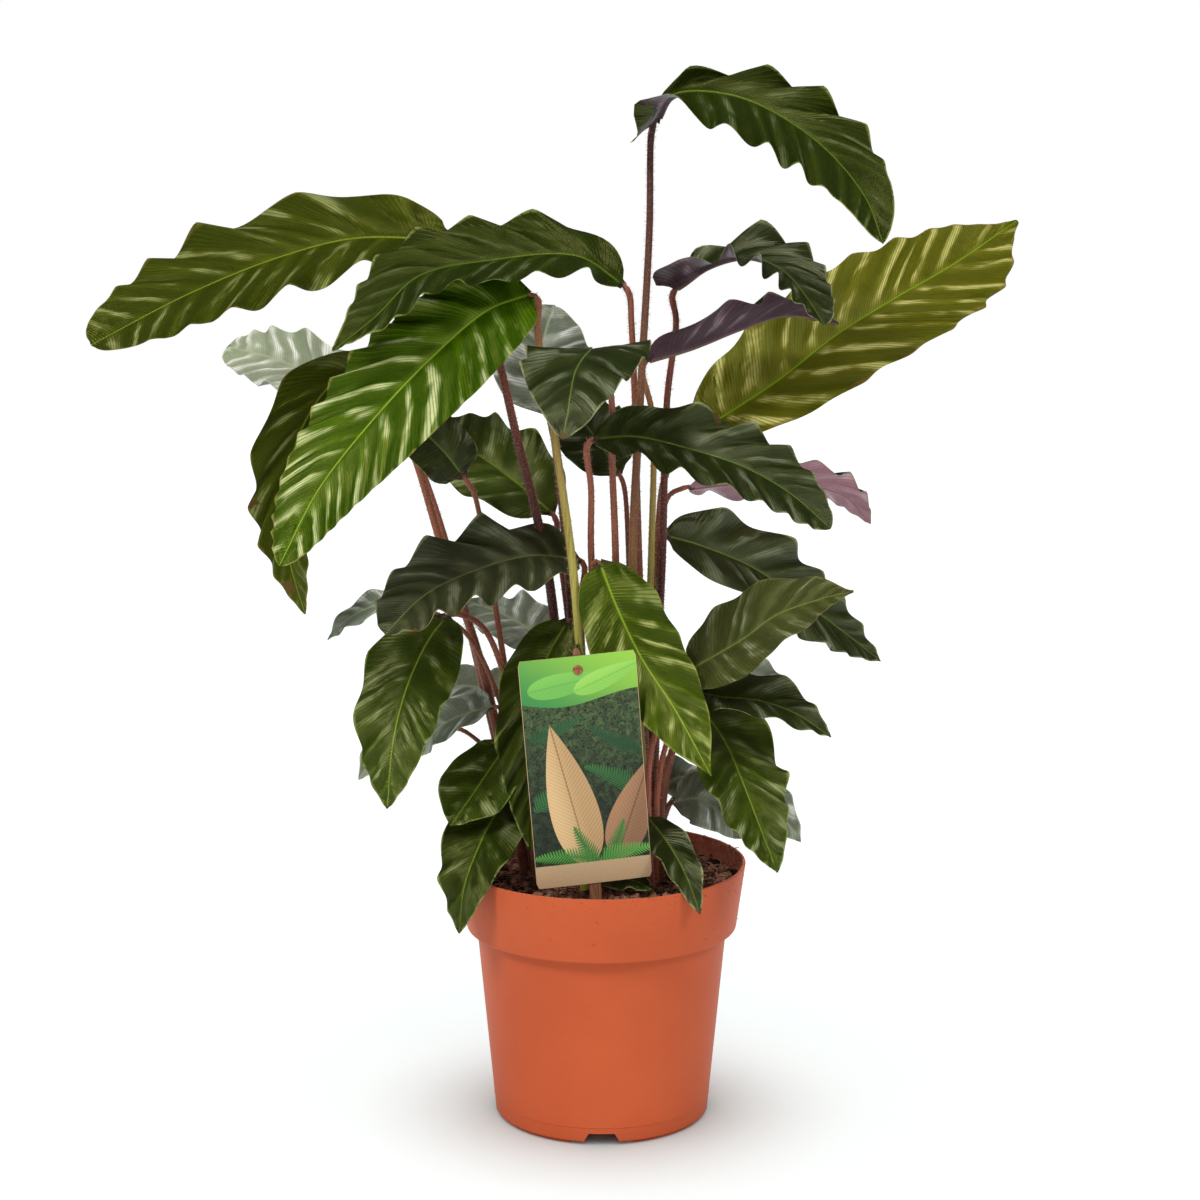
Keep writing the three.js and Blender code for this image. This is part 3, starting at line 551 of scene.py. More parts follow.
def potFinish():
    material, tree, surface = makeMaterial("orangePlastic", Specular_IOR_Level=0.13)
    place = objectPlace(tree)
    height = addNode(tree, "ShaderNodeSeparateXYZ", {0: place}).outputs["Z"]
    broad = grain(tree, place, 14, detail=4)
    fine = grain(tree, place, 900, detail=3)
    scuffs = grain(tree, stretched(tree, place, (60, 60, 420)), 1, detail=5, roughness=0.65)
    scuffs = rise(tree, scuffs, 0.6, 0.8)
    colour = mixPaint(tree, rise(tree, broad, 0.2, 0.8), *finishColours["pot"])
    colour = mixPaint(tree, times(tree, scuffs, 0.22), colour, finishColours["potScuff"])
    nearRim = rise(tree, height, 0.118, 0.153)
    # the collar's inner wall is paler, with soil clinging to it
    pot = potSettings
    slope = (pot["rimRadius"] - pot["collarRadiusBelow"]) / pot["collarHeight"]
    wallMiddle = (pot["rimRadius"] - pot["wall"] / 2 - slope * pot["height"]) / 1000
    radius = vectorCalc(tree, "LENGTH", fromAxis(tree, place, potAxis), output="Value")
    beyond = minus(tree, radius, timesPlus(tree, height, slope, wallMiddle))
    inside = times(tree, rise(tree, beyond, 0.0005, -0.0005), rise(tree, height, 0.118, 0.125))
    dust = rise(tree, grain(tree, place, 110, detail=5, roughness=0.7), 0.4, 0.65)
    dusty = times(tree, inside, timesPlus(tree, dust, 0.5, 0.3))
    colour = mixPaint(tree, dusty, colour, finishColours["potInside"])
    amount = timesPlus(tree, inside, 0.16, timesPlus(tree, nearRim, 0.12, 0.05))
    inputs = {"Vector": place, "Scale": 420, "Amount": amount}
    specks = addNode(tree, "ShaderNodeGroup", inputs, node_tree=dirt).outputs
    colour = mixPaint(tree, times(tree, specks["Mask"], 0.8), colour, finishColours["potDirt"])
    rough = timesPlus(tree, scuffs, 0.15, timesPlus(tree, fine, 0.16, 0.4))
    feed(surface, Base_Color=colour, Roughness=rough)
    bumpy = timesPlus(tree, specks["Height"], 1.5, times(tree, fine, 0.5))
    addBump(tree, surface, bumpy, 0.25, 0.0002)
    return material


def soilFinish(name, colours, glints=0.0):
    material, tree, surface = makeMaterial(name, roughness=0.9)
    place = objectPlace(tree)
    chance = valueOf(tree, "chance")
    lump = grain(tree, place, 240, detail=5, roughness=0.7)
    share = timesPlus(tree, chance, 0.75, timesPlus(tree, lump, 0.9, -0.35), clamp=True)
    colour = mixPaint(tree, share, *finishColours[colours])
    glinting = times(tree, rise(tree, chance, 0.93, 0.97), glints)
    feed(surface, Base_Color=mixPaint(tree, glinting, colour, finishColours["soilGlint"]))
    addBump(tree, surface, grain(tree, place, 1500, detail=4, roughness=0.7), 0.8, 0.0008)
    return material


def woodFinish():
    material, tree, surface = makeMaterial("stakeWood", roughness=0.55)
    fibre = grain(tree, stretched(tree, objectPlace(tree), (1500, 1500, 40)), 1, detail=4, distortion=0.4)
    feed(surface, Base_Color=mixPaint(tree, rise(tree, fibre, 0.3, 0.7), *finishColours["wood"]))
    addBump(tree, surface, fibre, 0.4, 0.0003)
    return material


def pinFinish():
    material, tree, surface = makeMaterial("copperPin", roughness=0.45, Metallic=0.7)
    place = objectPlace(tree)
    tarnish = rise(tree, grain(tree, place, 500, detail=4), 0.35, 0.7)
    colour = mixPaint(tree, tarnish, *finishColours["copper"])
    feed(surface, Base_Color=colour, Roughness=timesPlus(tree, tarnish, 0.2, 0.4))
    addBump(tree, surface, grain(tree, place, 1800), 0.2, 0.0001)
    return material


def kraftFinish():
    material, tree, surface = makeMaterial("kraftCard", roughness=0.75)
    place = objectPlace(tree)
    fibre = grain(tree, place, 700, detail=5, roughness=0.7)
    fleck = rise(tree, grain(tree, place, 1900, detail=1), 0.62, 0.7)
    colour = mixPaint(tree, fibre, *finishColours["kraft"])
    feed(surface, Base_Color=mixPaint(tree, times(tree, fleck, 0.4), colour, finishColours["kraftFleck"]))
    addBump(tree, surface, fibre, 0.3, 0.0001)
    return material


# One fern frond in print. Vector runs in millimetres from its foot, x along it and y across it.
def printedFrond():
    tree, given, result = makeGroup(
        "printedFrond",
        [("Vector", "Vector", None), ("Length", "Float", 40), ("HalfWidth", "Float", 9),
         ("Pitch", "Float", 1.6), ("Bend", "Float", 0.004)],
        [("Mask", "Float"), ("Shade", "Float")],
    )
    split = addNode(tree, "ShaderNodeSeparateXYZ", {0: given["Vector"]})
    x, y = split.outputs["X"], split.outputs["Y"]
    bow = times(tree, times(tree, x, x), given["Bend"])
    across = minus(tree, y, bow)
    away = calc(tree, "ABSOLUTE", across)
    share = calc(tree, "DIVIDE", x, given["Length"])
    taper = calc(tree, "SQRT", minus(tree, 1.0, share, clamp=True))
    width = times(tree, times(tree, taper, rise(tree, share, -0.05, 0.25)), given["HalfWidth"])
    reach = calc(tree, "DIVIDE", away, plus(tree, width, 0.01))
    swept = calc(tree, "DIVIDE", timesPlus(tree, away, -0.55, x), given["Pitch"])
    gap = calc(tree, "ABSOLUTE", minus(tree, calc(tree, "FRACT", plus(tree, swept, 50)), 0.5))
    leaflet = minus(tree, minus(tree, 1.0, reach), times(tree, times(tree, gap, gap), 4.2))
    mask = rise(tree, leaflet, -0.04, 0.1)
    stem = times(tree, rise(tree, away, 0.5, 0.25), rise(tree, share, 1.0, 0.98))
    mask = times(tree, calc(tree, "MAXIMUM", mask, stem), rise(tree, share, -0.01, 0.02))
    shade = timesPlus(tree, gap, -1.3, timesPlus(tree, share, 0.35, 0.75))
    feed(result, Mask=mask, Shade=shade)
    return tree


labelPrintLook = {
    "width": 66.3, "height": 134.4, "kraftStrip": 13, "bandHeight": 25,
    # fronds: foot x, foot y, turn in degrees, length, half width, bend, dark green, light green
    "fronds": [
        (2, 88, 12, 32, 7, 0.004, (18, 46, 28), (50, 98, 56)),
        (66, 76, 158, 34, 7, -0.004, (16, 42, 26), (44, 86, 50)),
        (64, 52, 140, 36, 8, 0.005, (20, 54, 30), (58, 112, 58)),
        (2, 46, 40, 34, 8, -0.005, (22, 58, 32), (62, 122, 64)),
    ],
    "nearFronds": [
        (37, 11, 128, 27, 7, -0.006, (24, 64, 32), (70, 132, 58)),
        (40, 11, 54, 28, 7, 0.006, (24, 64, 32), (70, 132, 58)),
        (38, 13, 160, 38, 8, 0.006, (30, 80, 38), (88, 156, 68)),
        (37, 13, 20, 32, 8, -0.006, (34, 88, 40), (104, 176, 76)),
    ],
    # pale lance-shaped leaves: foot x, foot y, turn, length, half width, dark, light
    "lances": [
        (47, 14, 68, 62, 12, (104, 70, 52), (178, 132, 96)),
        (31, 12, 101, 86, 14, (146, 104, 66), (228, 192, 140)),
    ],
    "bandLances": [
        (4, 116, 8, 48, 7, (98, 170, 78), (132, 196, 88)),
        (30, 114, 20, 44, 6, (120, 186, 76), (160, 212, 96)),
    ],
}


# Place in millimetres along and across something printed, from its foot and its turn in degrees.
def fromFoot(tree, sheet, foot, turn):
    inputs = {"Vector": sheet, "Location": (*foot, 0), "Rotation": (0, 0, math.radians(turn))}
    return addNode(tree, "ShaderNodeMapping", inputs, vector_type="TEXTURE").outputs[0]


def printFronds(tree, sheet, colour, fronds):
    for footX, footY, turn, length, half, bend, dark, light in fronds:
        place = fromFoot(tree, sheet, (footX, footY), turn)
        inputs = {"Vector": place, "Length": length, "HalfWidth": half, "Bend": bend}
        frond = addNode(tree, "ShaderNodeGroup", inputs, node_tree=fernFrond).outputs
        green = mixPaint(tree, frond["Shade"], paint(*dark), paint(*light))
        colour = mixPaint(tree, frond["Mask"], colour, green)
    return colour


def printLance(tree, sheet, colour, foot, turn, length, half, dark, light):
    split = addNode(tree, "ShaderNodeSeparateXYZ", {0: fromFoot(tree, sheet, foot, turn)})
    x, y = split.outputs["X"], split.outputs["Y"]
    share = calc(tree, "DIVIDE", x, float(length), clamp=True)
    arc = times(tree, times(tree, calc(tree, "SQRT", share), minus(tree, 1.0, share)), 2.6 * half)
    away = calc(tree, "ABSOLUTE", y)
    inside = rise(tree, minus(tree, arc, away), 0.0, 0.25)
    turns = times(tree, timesPlus(tree, away, -0.9, x), 2.6)
    ribs = timesPlus(tree, calc(tree, "SINE", turns), 0.09, 0.4)
    upper = times(tree, rise(tree, calc(tree, "DIVIDE", y, float(half)), -0.5, 0.8), 0.4)
    shade = plus(tree, plus(tree, ribs, upper), times(tree, rise(tree, away, 0.7, 0.2), -0.4), clamp=True)
    return mixPaint(tree, inside, colour, mixPaint(tree, shade, paint(*dark), paint(*light)))


def printFinish():
    look = labelPrintLook
    material, tree, surface = makeMaterial("labelPrint", roughness=0.4, Specular_IOR_Level=0.25)
    uv = addNode(tree, "ShaderNodeUVMap", uv_map="UVMap").outputs["UV"]
    sheet = stretched(tree, uv, (look["width"], look["height"], 1))
    place = addNode(tree, "ShaderNodeSeparateXYZ", {0: sheet})
    x, y = place.outputs["X"], place.outputs["Y"]
    # deep foliage behind everything, lighter where the light falls in at the top
    clumps = grain(tree, sheet, 0.22, detail=6, roughness=0.7, distortion=0.6)
    inputs = {"Vector": sheet, "Scale": 1.2, "Randomness": 1}
    leafy = addNode(tree, "ShaderNodeTexVoronoi", inputs, feature="SMOOTH_F1")
    glow = rise(tree, y, 30, 120)
    bright = times(tree, timesPlus(tree, glow, 0.75, 0.3), rise(tree, clumps, 0.42, 0.72))
    colour = mixPaint(tree, bright, *finishColours["printShade"])
    lit = mixPaint(tree, timesPlus(tree, glow, 0.22, 0.05), colour, finishColours["printLit"])
    colour = mixPaint(tree, rise(tree, leafy.outputs["Distance"], 0.25, 0.75), lit, colour)
    colour = printFronds(tree, sheet, colour, look["fronds"])
    for footX, footY, turn, length, half, dark, light in look["lances"]:
        colour = printLance(tree, sheet, colour, (footX, footY), turn, length, half, dark, light)
    colour = printFronds(tree, sheet, colour, look["nearFronds"])
    # a light green band across the top, its lower edge in a long wave
    wave = times(tree, calc(tree, "SINE", times(tree, x, 0.07)), 3.5)
    bandY = plus(tree, minus(tree, y, look["height"] - look["bandHeight"]), wave)
    green = mixPaint(tree, rise(tree, timesPlus(tree, x, 0.6, y), 105, 175), *finishColours["printBand"])
    for footX, footY, turn, length, half, dark, light in look["bandLances"]:
        green = printLance(tree, sheet, green, (footX, footY), turn, length, half, dark, light)
    colour = mixPaint(tree, rise(tree, bandY, -0.2, 0.1), colour, green)
    # bare card below the print, and a worn edge
    strip, halfWidth = look["kraftStrip"], look["width"] / 2
    below = rise(tree, timesPlus(tree, grain(tree, sheet, 0.9), 0.5, y), strip + 0.5, strip + 0.1)
    away = calc(tree, "ABSOLUTE", minus(tree, x, halfWidth))
    worn = rise(tree, away, halfWidth - 0.4, halfWidth - 0.1)
    bare = plus(tree, below, worn, clamp=True)
    fibre = grain(tree, sheet, 0.8, detail=5, roughness=0.7)
    colour = mixPaint(tree, bare, colour, mixPaint(tree, fibre, *finishColours["printStrip"]))
    rough = timesPlus(tree, bare, 0.35, timesPlus(tree, fibre, 0.1, 0.3))
    feed(surface, Base_Color=colour, Roughness=rough)
    addBump(tree, surface, fibre, 0.12, 0.0001)
    return material


fernFrond = printedFrond()
print("materials ready")


def removePiece(piece):
    spare = piece.data
    bpy.data.objects.remove(piece)
    bpy.data.meshes.remove(spare)


# What a piece's modifiers make of it, as a mesh.
def evaluatedMesh(piece):
    bpy.context.view_layer.update()
    return bpy.data.meshes.new_from_object(piece.evaluated_get(bpy.context.evaluated_depsgraph_get()))


# Runs a node tree over a copy of a piece and returns the result as a plain mesh piece.
def grow(name, source, tree, **inputs):
    carrier = bpy.data.objects.new(name + "_carrier", source.data.copy())
    scene.collection.objects.link(carrier)
    modifier = carrier.modifiers.new(tree.name, "NODES")
    modifier.node_group = tree
    for item in tree.interface.items_tree:
        if item.item_type == "SOCKET" and item.in_out == "INPUT" and item.name in inputs:
            modifier[item.identifier] = inputs[item.name]
    mesh = evaluatedMesh(carrier)
    mesh.name = name
    removePiece(carrier)
    piece = bpy.data.objects.new(name, mesh)
    scene.collection.objects.link(piece)
    return piece


def growthGroup(name, inputs):
    sockets = [("Geometry", "Geometry", None), ("Seed", "Int", 1), ("Material", "Material", None), *inputs]
    return makeGroup(name, sockets, [("Geometry", "Geometry")], "GeometryNodeTree")


# A random value for every bit: a vector where its limits are vectors.
def chanceNode(tree, low, high, seed):
    isVector = isinstance(low, tuple)
    first, kind = (0, "FLOAT_VECTOR") if isVector else (2, "FLOAT")
    inputs = {first: low, first + 1: high, "Seed": seed}
    return addNode(tree, "FunctionNodeRandomValue", inputs, data_type=kind).outputs[0 if isVector else 1]


# Sets a bit on every point and makes them real faces, with a finish and a chance value for every bit.
def plantBits(tree, given, result, points, bit, turn, scale):
    inputs = {"Points": points, "Instance": bit, "Rotation": turn, "Scale": scale}
    planted = addNode(tree, "GeometryNodeInstanceOnPoints", inputs).outputs[0]
    inputs = {"Geometry": planted, "Name": "chance", "Value": chanceNode(tree, 0.0, 1.0, 5)}
    marked = addNode(tree, "GeometryNodeStoreNamedAttribute", inputs, data_type="FLOAT", domain="INSTANCE")
    solid = addNode(tree, "GeometryNodeRealizeInstances", {0: marked.outputs[0]})
    inputs = {"Geometry": solid.outputs[0], "Material": given["Material"]}
    feed(result, Geometry=addNode(tree, "GeometryNodeSetMaterial", inputs).outputs[0])


# What every blade has unless its own entry below says otherwise.
bladeSettings = {
    "rowSpacing": 1.55,         # mm of leaf between rows of points
    "columns": 15,              # columns of points on each side of the midrib
    "thickness": 0.34,
    "waveLength": 25,           # mm of leaf for each ruffle of the margin
    "ruffle": 4.2,              # how far the margin rises and falls
    "pointed": 0.65,            # 0 for round crests, 1 for pointed ones
    "calm": 0.8,                # how much the ruffles fade towards the tip
    "calmFrom": (0.3, 0.9),     # where along the leaf they fade
    "pleatLength": 17,          # mm of leaf for each pleat across the blade
    "pleat": 1.2,               # depth of the pleats
    "sweep": 0.2,               # how far side veins run forward, as a share of the length
    "curl": 10,                 # degrees that the margins bend back down
    "baseShare": 0.82,          # below 1 for a blade that widens faster from its base
    "fold": (14, 8),            # degrees that its halves fold up at base and tip
    "fullness": (.55, .8),      # how full its outline is at base and tip, smaller for blunter
    "scallop": 0.05,            # how far the ruffles push the margin in and out
    "point": 0,                 # how much its tip is drawn out
    "pointFrom": 0.78,          # from where along the leaf
    "lobeEnd": 0.16,            # how far along the leaf a lobe beside the stalk reaches
    "fullSize": 24,             # half width in mm from which ruffles and pleats have their full depth
    "narrow": 20,               # half width in mm up to which a blade has fewer columns
    "narrowColumns": 10,
    "seedStep": 1.37,           # between the seeds of one leaf and the next
}

# Every leaf: its shoot, where its midrib runs from stalk to tip, where its upper side looks at both ends,
# the bends of its stalk, and what sets it apart from its neighbours.
leaves = {
    "crown": dict(
        shoot="right", halfWidth=29, stalkRadius=2.5, tone="shade", tint="crown",
        midrib=[(30, 580, 0), (39, 594, 6), (73, 593, 24), (114, 569, 56), (140, 538, 78), (149, 513, 90)],
        faces=[(0, .5, .85), (.45, .4, .8)], fold=(22, 10), fullness=(.75, .6),
        stalk=[(18, 324, 9), (22, 424, 9), (27, 520, 4)], ruffle=7.0, waves=8, calm=1.0, wide=(0.84, 1.05),
        phase=(0.3, 0.0), tipSides=(1.2, 1.1), pleat=0.9, baseSides=(1.8, 1.0), calmFrom=(0.4, 0.7),
        lobes=(0, 14), rolled=(0, 75), pointed=0.45,
    ),
    "upper_left": dict(
        shoot="middle_back", halfWidth=31, stalkRadius=2.8, tone="olive", tint="dark",
        midrib=[(-88, 514, -30), (-141, 515, -14), (-181, 505, 4), (-229, 485, 30), (-278, 458, 62)],
        faces=[(0, .6, .8), (-.35, .5, .85)], fold=(20, 12), fullness=(.45, .5),
        stalk=[(-31, 320, -10), (-50, 405, -10), (-62, 454, -16)], ruffle=6.5, waves=6, wide=(1.0, 1.05),
        tipSides=(0.8, 0.8), pleatLength=19, pleat=1.3, calm=1.0, phase=(0.2, 0.7), pointed=0.85,
        calmFrom=(0.4, 0.9),
    ),
    "upper_middle": dict(
        shoot="right", halfWidth=28, stalkRadius=2.3, tone="shade",
        midrib=[(12, 489, 0), (-13, 505, 6), (-63, 503, 24), (-100, 495, 48), (-123, 473, 70),
                (-144, 456, 84)],
        faces=[(0, .8, .6), (-.4, .5, .75)], fold=(25, 12), fullness=(.6, .5),
        stalk=[(20, 382, -2), (19, 424, 0), (17, 467, 0)], ruffle=4.0, waves=8, tipSides=(1.6, 1.2),
        calm=0.9, point=0.4,
    ),
    "bright_left": dict(
        shoot="middle_front", halfWidth=34, stalkRadius=2.6, tone="bright", tint="lime",
        midrib=[(-41, 484, 26), (-63, 476, 36), (-94, 450, 56), (-125, 417, 80), (-152, 382, 98),
                (-172, 343, 108)],
        faces=[(-.1, .5, .85), (-.2, .35, .9)], fold=(15, 8), fullness=(.5, .6),
        stalk=[(-14, 304, 22), (-26, 401, 24), (-36, 465, 24)], ruffle=2.6, waves=14, baseShare=0.6,
        pleat=1.5, calm=0.5, wide=(1.05, 1.0), pleatLength=18,
    ),
    "golden_right": dict(
        shoot="right_back", halfWidth=34, stalkRadius=2.6, tone="golden",
        midrib=[(58, 402, -40), (104, 431, -50), (139, 457, -62), (175, 478, -78), (213, 498, -98),
                (256, 525, -120)],
        faces=[(-.3, .6, .75), (-.2, .5, .85)], fold=(20, 10), fullness=(.5, .45),
        stalk=[(33, 339, -26), (39, 380, -34)], ruffle=4.0, waves=9, tipSides=(1.3, 1.0), pleat=1.5,
        wide=(1.18, 1.3), calm=0.7, pleatLength=21, scallop=0.12, phase=(0.5, 0.2), ruffled=(0.3, 1.0),
        point=0.7,
    ),
    "ruffled_right": dict(
        shoot="right_back", halfWidth=22, stalkRadius=2.4, tone="deep", tint="dark",
        midrib=[(43, 487, -10), (59, 499, 2), (81, 505, 22), (99, 498, 46), (110, 485, 68), (119, 470, 84)],
        faces=[(-.1, .9, .4), (.5, .6, .6)], fold=(30, 18), fullness=(.6, .5),
        stalk=[(35, 318, -12), (38, 421, -21), (43, 468, -18)], ruffle=6.0, waves=7, pleat=0.6,
        lobes=(0, 8), rolled=(0, 50),
    ),
    "turned_right": dict(
        shoot="right_back", halfWidth=19, stalkRadius=2.2, tone="deep", tint="lime",
        midrib=[(27, 447, 2), (51, 454, 3), (79, 464, -8), (107, 471, -24), (139, 465, -40)],
        faces=[(-.1, .95, -.3), (0, .85, -.5)], fold=(46, 30), stalk=[(29, 337, -8), (29, 415, -3)],
        scorch=[(.3, -1, 7), (.42, -1, 6), (.55, -1, 5)],
    ),
    "towards_front": dict(
        shoot="middle", halfWidth=33, stalkRadius=2.3, tone="deep",
        midrib=[(-3, 453, 34), (-6, 456, 70), (-14, 446, 105), (-17, 431, 126), (-20, 413, 136)],
        faces=[(-.1, .97, .2), (-.1, .5, .85)], fold=(4, 0), fullness=(.5, .75),
        stalk=[(8, 335, 12), (6, 388, 18), (5, 430, 26)], scorch=[(1, 0, 7)], ruffle=4.5, pleat=1.0,
    ),
    "grey_middle": dict(
        shoot="middle_back", halfWidth=30, stalkRadius=2.2, tone="silvery", tint="dark",
        midrib=[(-31, 415, -22), (-34, 433, -34), (-35, 453, -50), (-29, 475, -64)],
        faces=[(0, .5, .85), (0, .4, .9)], fold=(18, 10), fullness=(.5, .55),
        stalk=[(-19, 305, -20), (-24, 364, -18), (-28, 399, -18)],
    ),
    "silver_left": dict(
        shoot="left_back", halfWidth=25, stalkRadius=2.3, tone="silver",
        midrib=[(-137, 418, -56), (-164, 427, -78), (-198, 440, -104), (-234, 447, -132)],
        faces=[(0, .7, .7), (-.2, .7, .6)], fold=(20, 12), fullness=(.5, .45),
        stalk=[(-68, 241, -24), (-89, 325, -34), (-113, 390, -50)],
    ),
    "hanging_far_left": dict(
        shoot="left_back", halfWidth=26, stalkRadius=2.6, tone="olive",
        midrib=[(-127, 421, -22), (-151, 434, -22), (-173, 408, -14), (-183, 366, -4), (-180, 332, 6),
                (-171, 301, 12)],
        faces=[(-.3, .75, .6), (-.5, .1, .85)], fold=(18, 8),
        stalk=[(-72, 269, -18), (-93, 333, -20), (-111, 393, -22)],
        scorch=[(.25, -1, 6), (.5, -1, 7), (.62, 1, 8), (.8, -1, 8), (.9, .8, 7)], ruffle=3.4, pleat=0.8,
    ),
    "dark_left": dict(
        shoot="middle_back", halfWidth=31, stalkRadius=2.2, tone="fresh", tint="dark",
        midrib=[(-30, 355, -32), (-48, 369, -44), (-73, 385, -62), (-105, 400, -88)],
        faces=[(0, .7, .7), (0, .7, .7)], fold=(20, 10), fullness=(.45, .45),
        stalk=[(-19, 279, -32), (-26, 339, -32)], pleat=0.7,
    ),
    "dark_middle": dict(
        shoot="right_back", halfWidth=22, stalkRadius=1.9, tone="deep", tint="dark",
        midrib=[(10, 378, -34), (-3, 396, -54), (-16, 409, -80), (-32, 417, -104)],
        faces=[(-.2, .6, .8), (-.2, .6, .8)], stalk=[(16, 327, -32), (14, 365, -34)],
    ),
    "dark_right": dict(
        shoot="middle", halfWidth=25, stalkRadius=2.3, tone="deep",
        midrib=[(-4, 404, 32), (19, 406, 40), (49, 400, 50), (79, 391, 64), (103, 378, 76), (124, 360, 84)],
        faces=[(.1, .7, .7), (.35, .55, .75)], fold=(26, 12), fullness=(.55, .55),
        stalk=[(-6, 337, 12), (-6, 375, 22)], ruffle=5.0, waves=7,
        scorch=[(.42, -1, 5), (.5, -1, 4.5), (.22, 1, 5), (.3, 1, 4)], pleat=0.9,
    ),
    "pink_right": dict(
        shoot="right_back", halfWidth=21, stalkRadius=1.9, tone="pink",
        midrib=[(52, 371, -24), (85, 372, -42), (123, 368, -66), (150, 358, -86), (167, 339, -104)],
        faces=[(.2, .7, -.7), (.4, .4, -.8)], fold=(16, 8), stalk=[(32, 303, -30), (39, 364, -28)],
    ),
    "right_back": dict(
        shoot="right_back", halfWidth=28, stalkRadius=2.2, tone="deep",
        midrib=[(38, 343, -16), (59, 336, -22), (89, 322, -34), (119, 300, -50), (149, 276, -66),
                (172, 257, -78)],
        faces=[(0, .65, .75), (.3, .6, .75)], fold=(20, 10), stalk=[(33, 245, -18), (34, 305, -18)],
        ruffle=5.0, waves=6, pleat=1.0,
    ),
    "olive_right": dict(
        shoot="right_front", halfWidth=26, stalkRadius=2, tone="duller", tint="pink",
        midrib=[(49, 269, 20), (80, 292, 42), (97, 308, 58), (120, 320, 76), (136, 327, 92)],
        faces=[(0, .65, .75), (.1, .65, .75)], fold=(16, 10), fullness=(.5, .6),
        stalk=[(28, 219, 20), (38, 251, 20)], ruffle=1.8, calm=0.9, pleat=1.3, pleatLength=15, waves=4,
        tipSides=(1.4, 1.1), point=0.5,
    ),
    "right_low_back": dict(
        shoot="right", halfWidth=16, stalkRadius=1.6, tone="silvery",
        midrib=[(58, 251, -10), (79, 259, -20), (101, 255, -32), (118, 246, -42)],
        faces=[(0, .8, .6), (.1, .8, .6)], stalk=[(41, 211, -6), (51, 240, -8)],
    ),
    "right_low": dict(
        shoot="right", halfWidth=20, stalkRadius=1.8, tone="deep", tint="pink",
        midrib=[(51, 257, 16), (68, 255, 24), (90, 255, 36), (109, 250, 46), (129, 238, 54)],
        faces=[(0, .85, .5), (.3, .75, .55)], fold=(26, 14), stalk=[(34, 209, 12), (43, 243, 14)],
        ruffle=3.6, pleat=1.4,
    ),
    "hanging_right": dict(
        shoot="right", halfWidth=28, stalkRadius=2, tone="fresh",
        midrib=[(58, 244, 0), (71, 228, 18), (80, 210, 42), (89, 188, 62), (98, 166, 78)],
        faces=[(.3, .7, .6), (.45, .25, .85)], fold=(16, 8), stalk=[(37, 201, 2), (48, 238, 0)], ruffle=3.4,
        waves=5, pleat=1.8, pleatLength=15, calm=0.9,
    ),
    "bright_front": dict(
        shoot="middle", halfWidth=25, stalkRadius=2.2, tone="leafy",
        midrib=[(-1, 332, 22), (9, 307, 29), (23, 279, 35), (41, 253, 48), (61, 219, 68)],
        faces=[(-.05, .6, .8), (-.2, .4, .9)], stalk=[(4, 253, 18), (0, 311, 18)], ruffle=2.6, pleat=1.4,
        calm=0.9, pleatLength=15, point=0.4,
    ),
    "wide_left": dict(
        shoot="middle_front", halfWidth=30, stalkRadius=2.2, tone="muted",
        midrib=[(-14, 331, -4), (-39, 335, 10), (-68, 331, 34), (-98, 320, 62), (-118, 302, 84)],
        faces=[(.1, .8, .6), (-.3, .65, .7)], fold=(18, 10), fullness=(.5, .5),
        stalk=[(-10, 249, 0), (-12, 308, -4)], ruffle=6.0, waves=5, calm=0.5, scorch=[(.93, -1, 4)],
        pleat=0.9,
    ),
    "small_left": dict(
        shoot="left_back", halfWidth=14, stalkRadius=1.6, tone="silvery",
        midrib=[(-112, 303, -8), (-127, 303, -14), (-149, 293, -24), (-163, 279, -30)],
        faces=[(0, .85, .5), (-.2, .8, .5)], fold=(18, 10), stalk=[(-60, 247, -6), (-82, 289, -8)],
    ),
    "hanging_left": dict(
        shoot="left_front", halfWidth=28, stalkRadius=2.1, tone="fresh",
        midrib=[(-90, 299, 10), (-99, 288, 22), (-110, 265, 40), (-117, 237, 56), (-120, 200, 68)],
        faces=[(-.2, .7, .7), (-.3, .2, .92)], stalk=[(-56, 262, 6), (-70, 294, 8)], ruffle=3.6, waves=5,
        pleat=1.8, pleatLength=15,
    ),
    "pale_left": dict(
        shoot="middle_back", halfWidth=21, stalkRadius=1.8, tone="silvery",
        midrib=[(-33, 276, -44), (-52, 284, -66), (-69, 288, -88), (-85, 290, -106)],
        faces=[(0, .7, .7), (0, .7, .7)], stalk=[(-19, 215, -42), (-27, 258, -42)],
    ),
    "low_left_back": dict(
        shoot="left_back", halfWidth=18, stalkRadius=1.7, tone="silvery",
        midrib=[(-61, 244, -42), (-75, 245, -54), (-89, 243, -68), (-102, 231, -80)],
        faces=[(0, .75, .65), (-.1, .75, .65)], stalk=[(-43, 201, -30), (-55, 235, -40)],
    ),
    "low_left": dict(
        shoot="left_front", halfWidth=16, stalkRadius=1.7, tone="silvery",
        midrib=[(-64, 245, 4), (-80, 239, -4), (-97, 228, -14), (-111, 209, -22)],
        faces=[(0, .8, .6), (-.2, .75, .6)], fold=(18, 10), stalk=[(-42, 207, 0), (-56, 240, 4)],
    ),
    "rim_left_back": dict(
        shoot="left_front", halfWidth=24, stalkRadius=1.5, tone="fresh",
        midrib=[(-54, 225, 10), (-62, 215, 17), (-74, 199, 29), (-86, 184, 43)],
        faces=[(-.2, .7, .7), (-.3, .5, .8)], fold=(12, 8), fullness=(.8, .8),
        stalk=[(-35, 205, 1), (-44, 234, -4)], pleat=1.4,
    ),
    "rim_left": dict(
        shoot="left_front", halfWidth=22, stalkRadius=1.8, tone="shade",
        midrib=[(-53, 194, 14), (-62, 185, 26), (-71, 170, 44), (-78, 151, 57), (-81, 126, 62)],
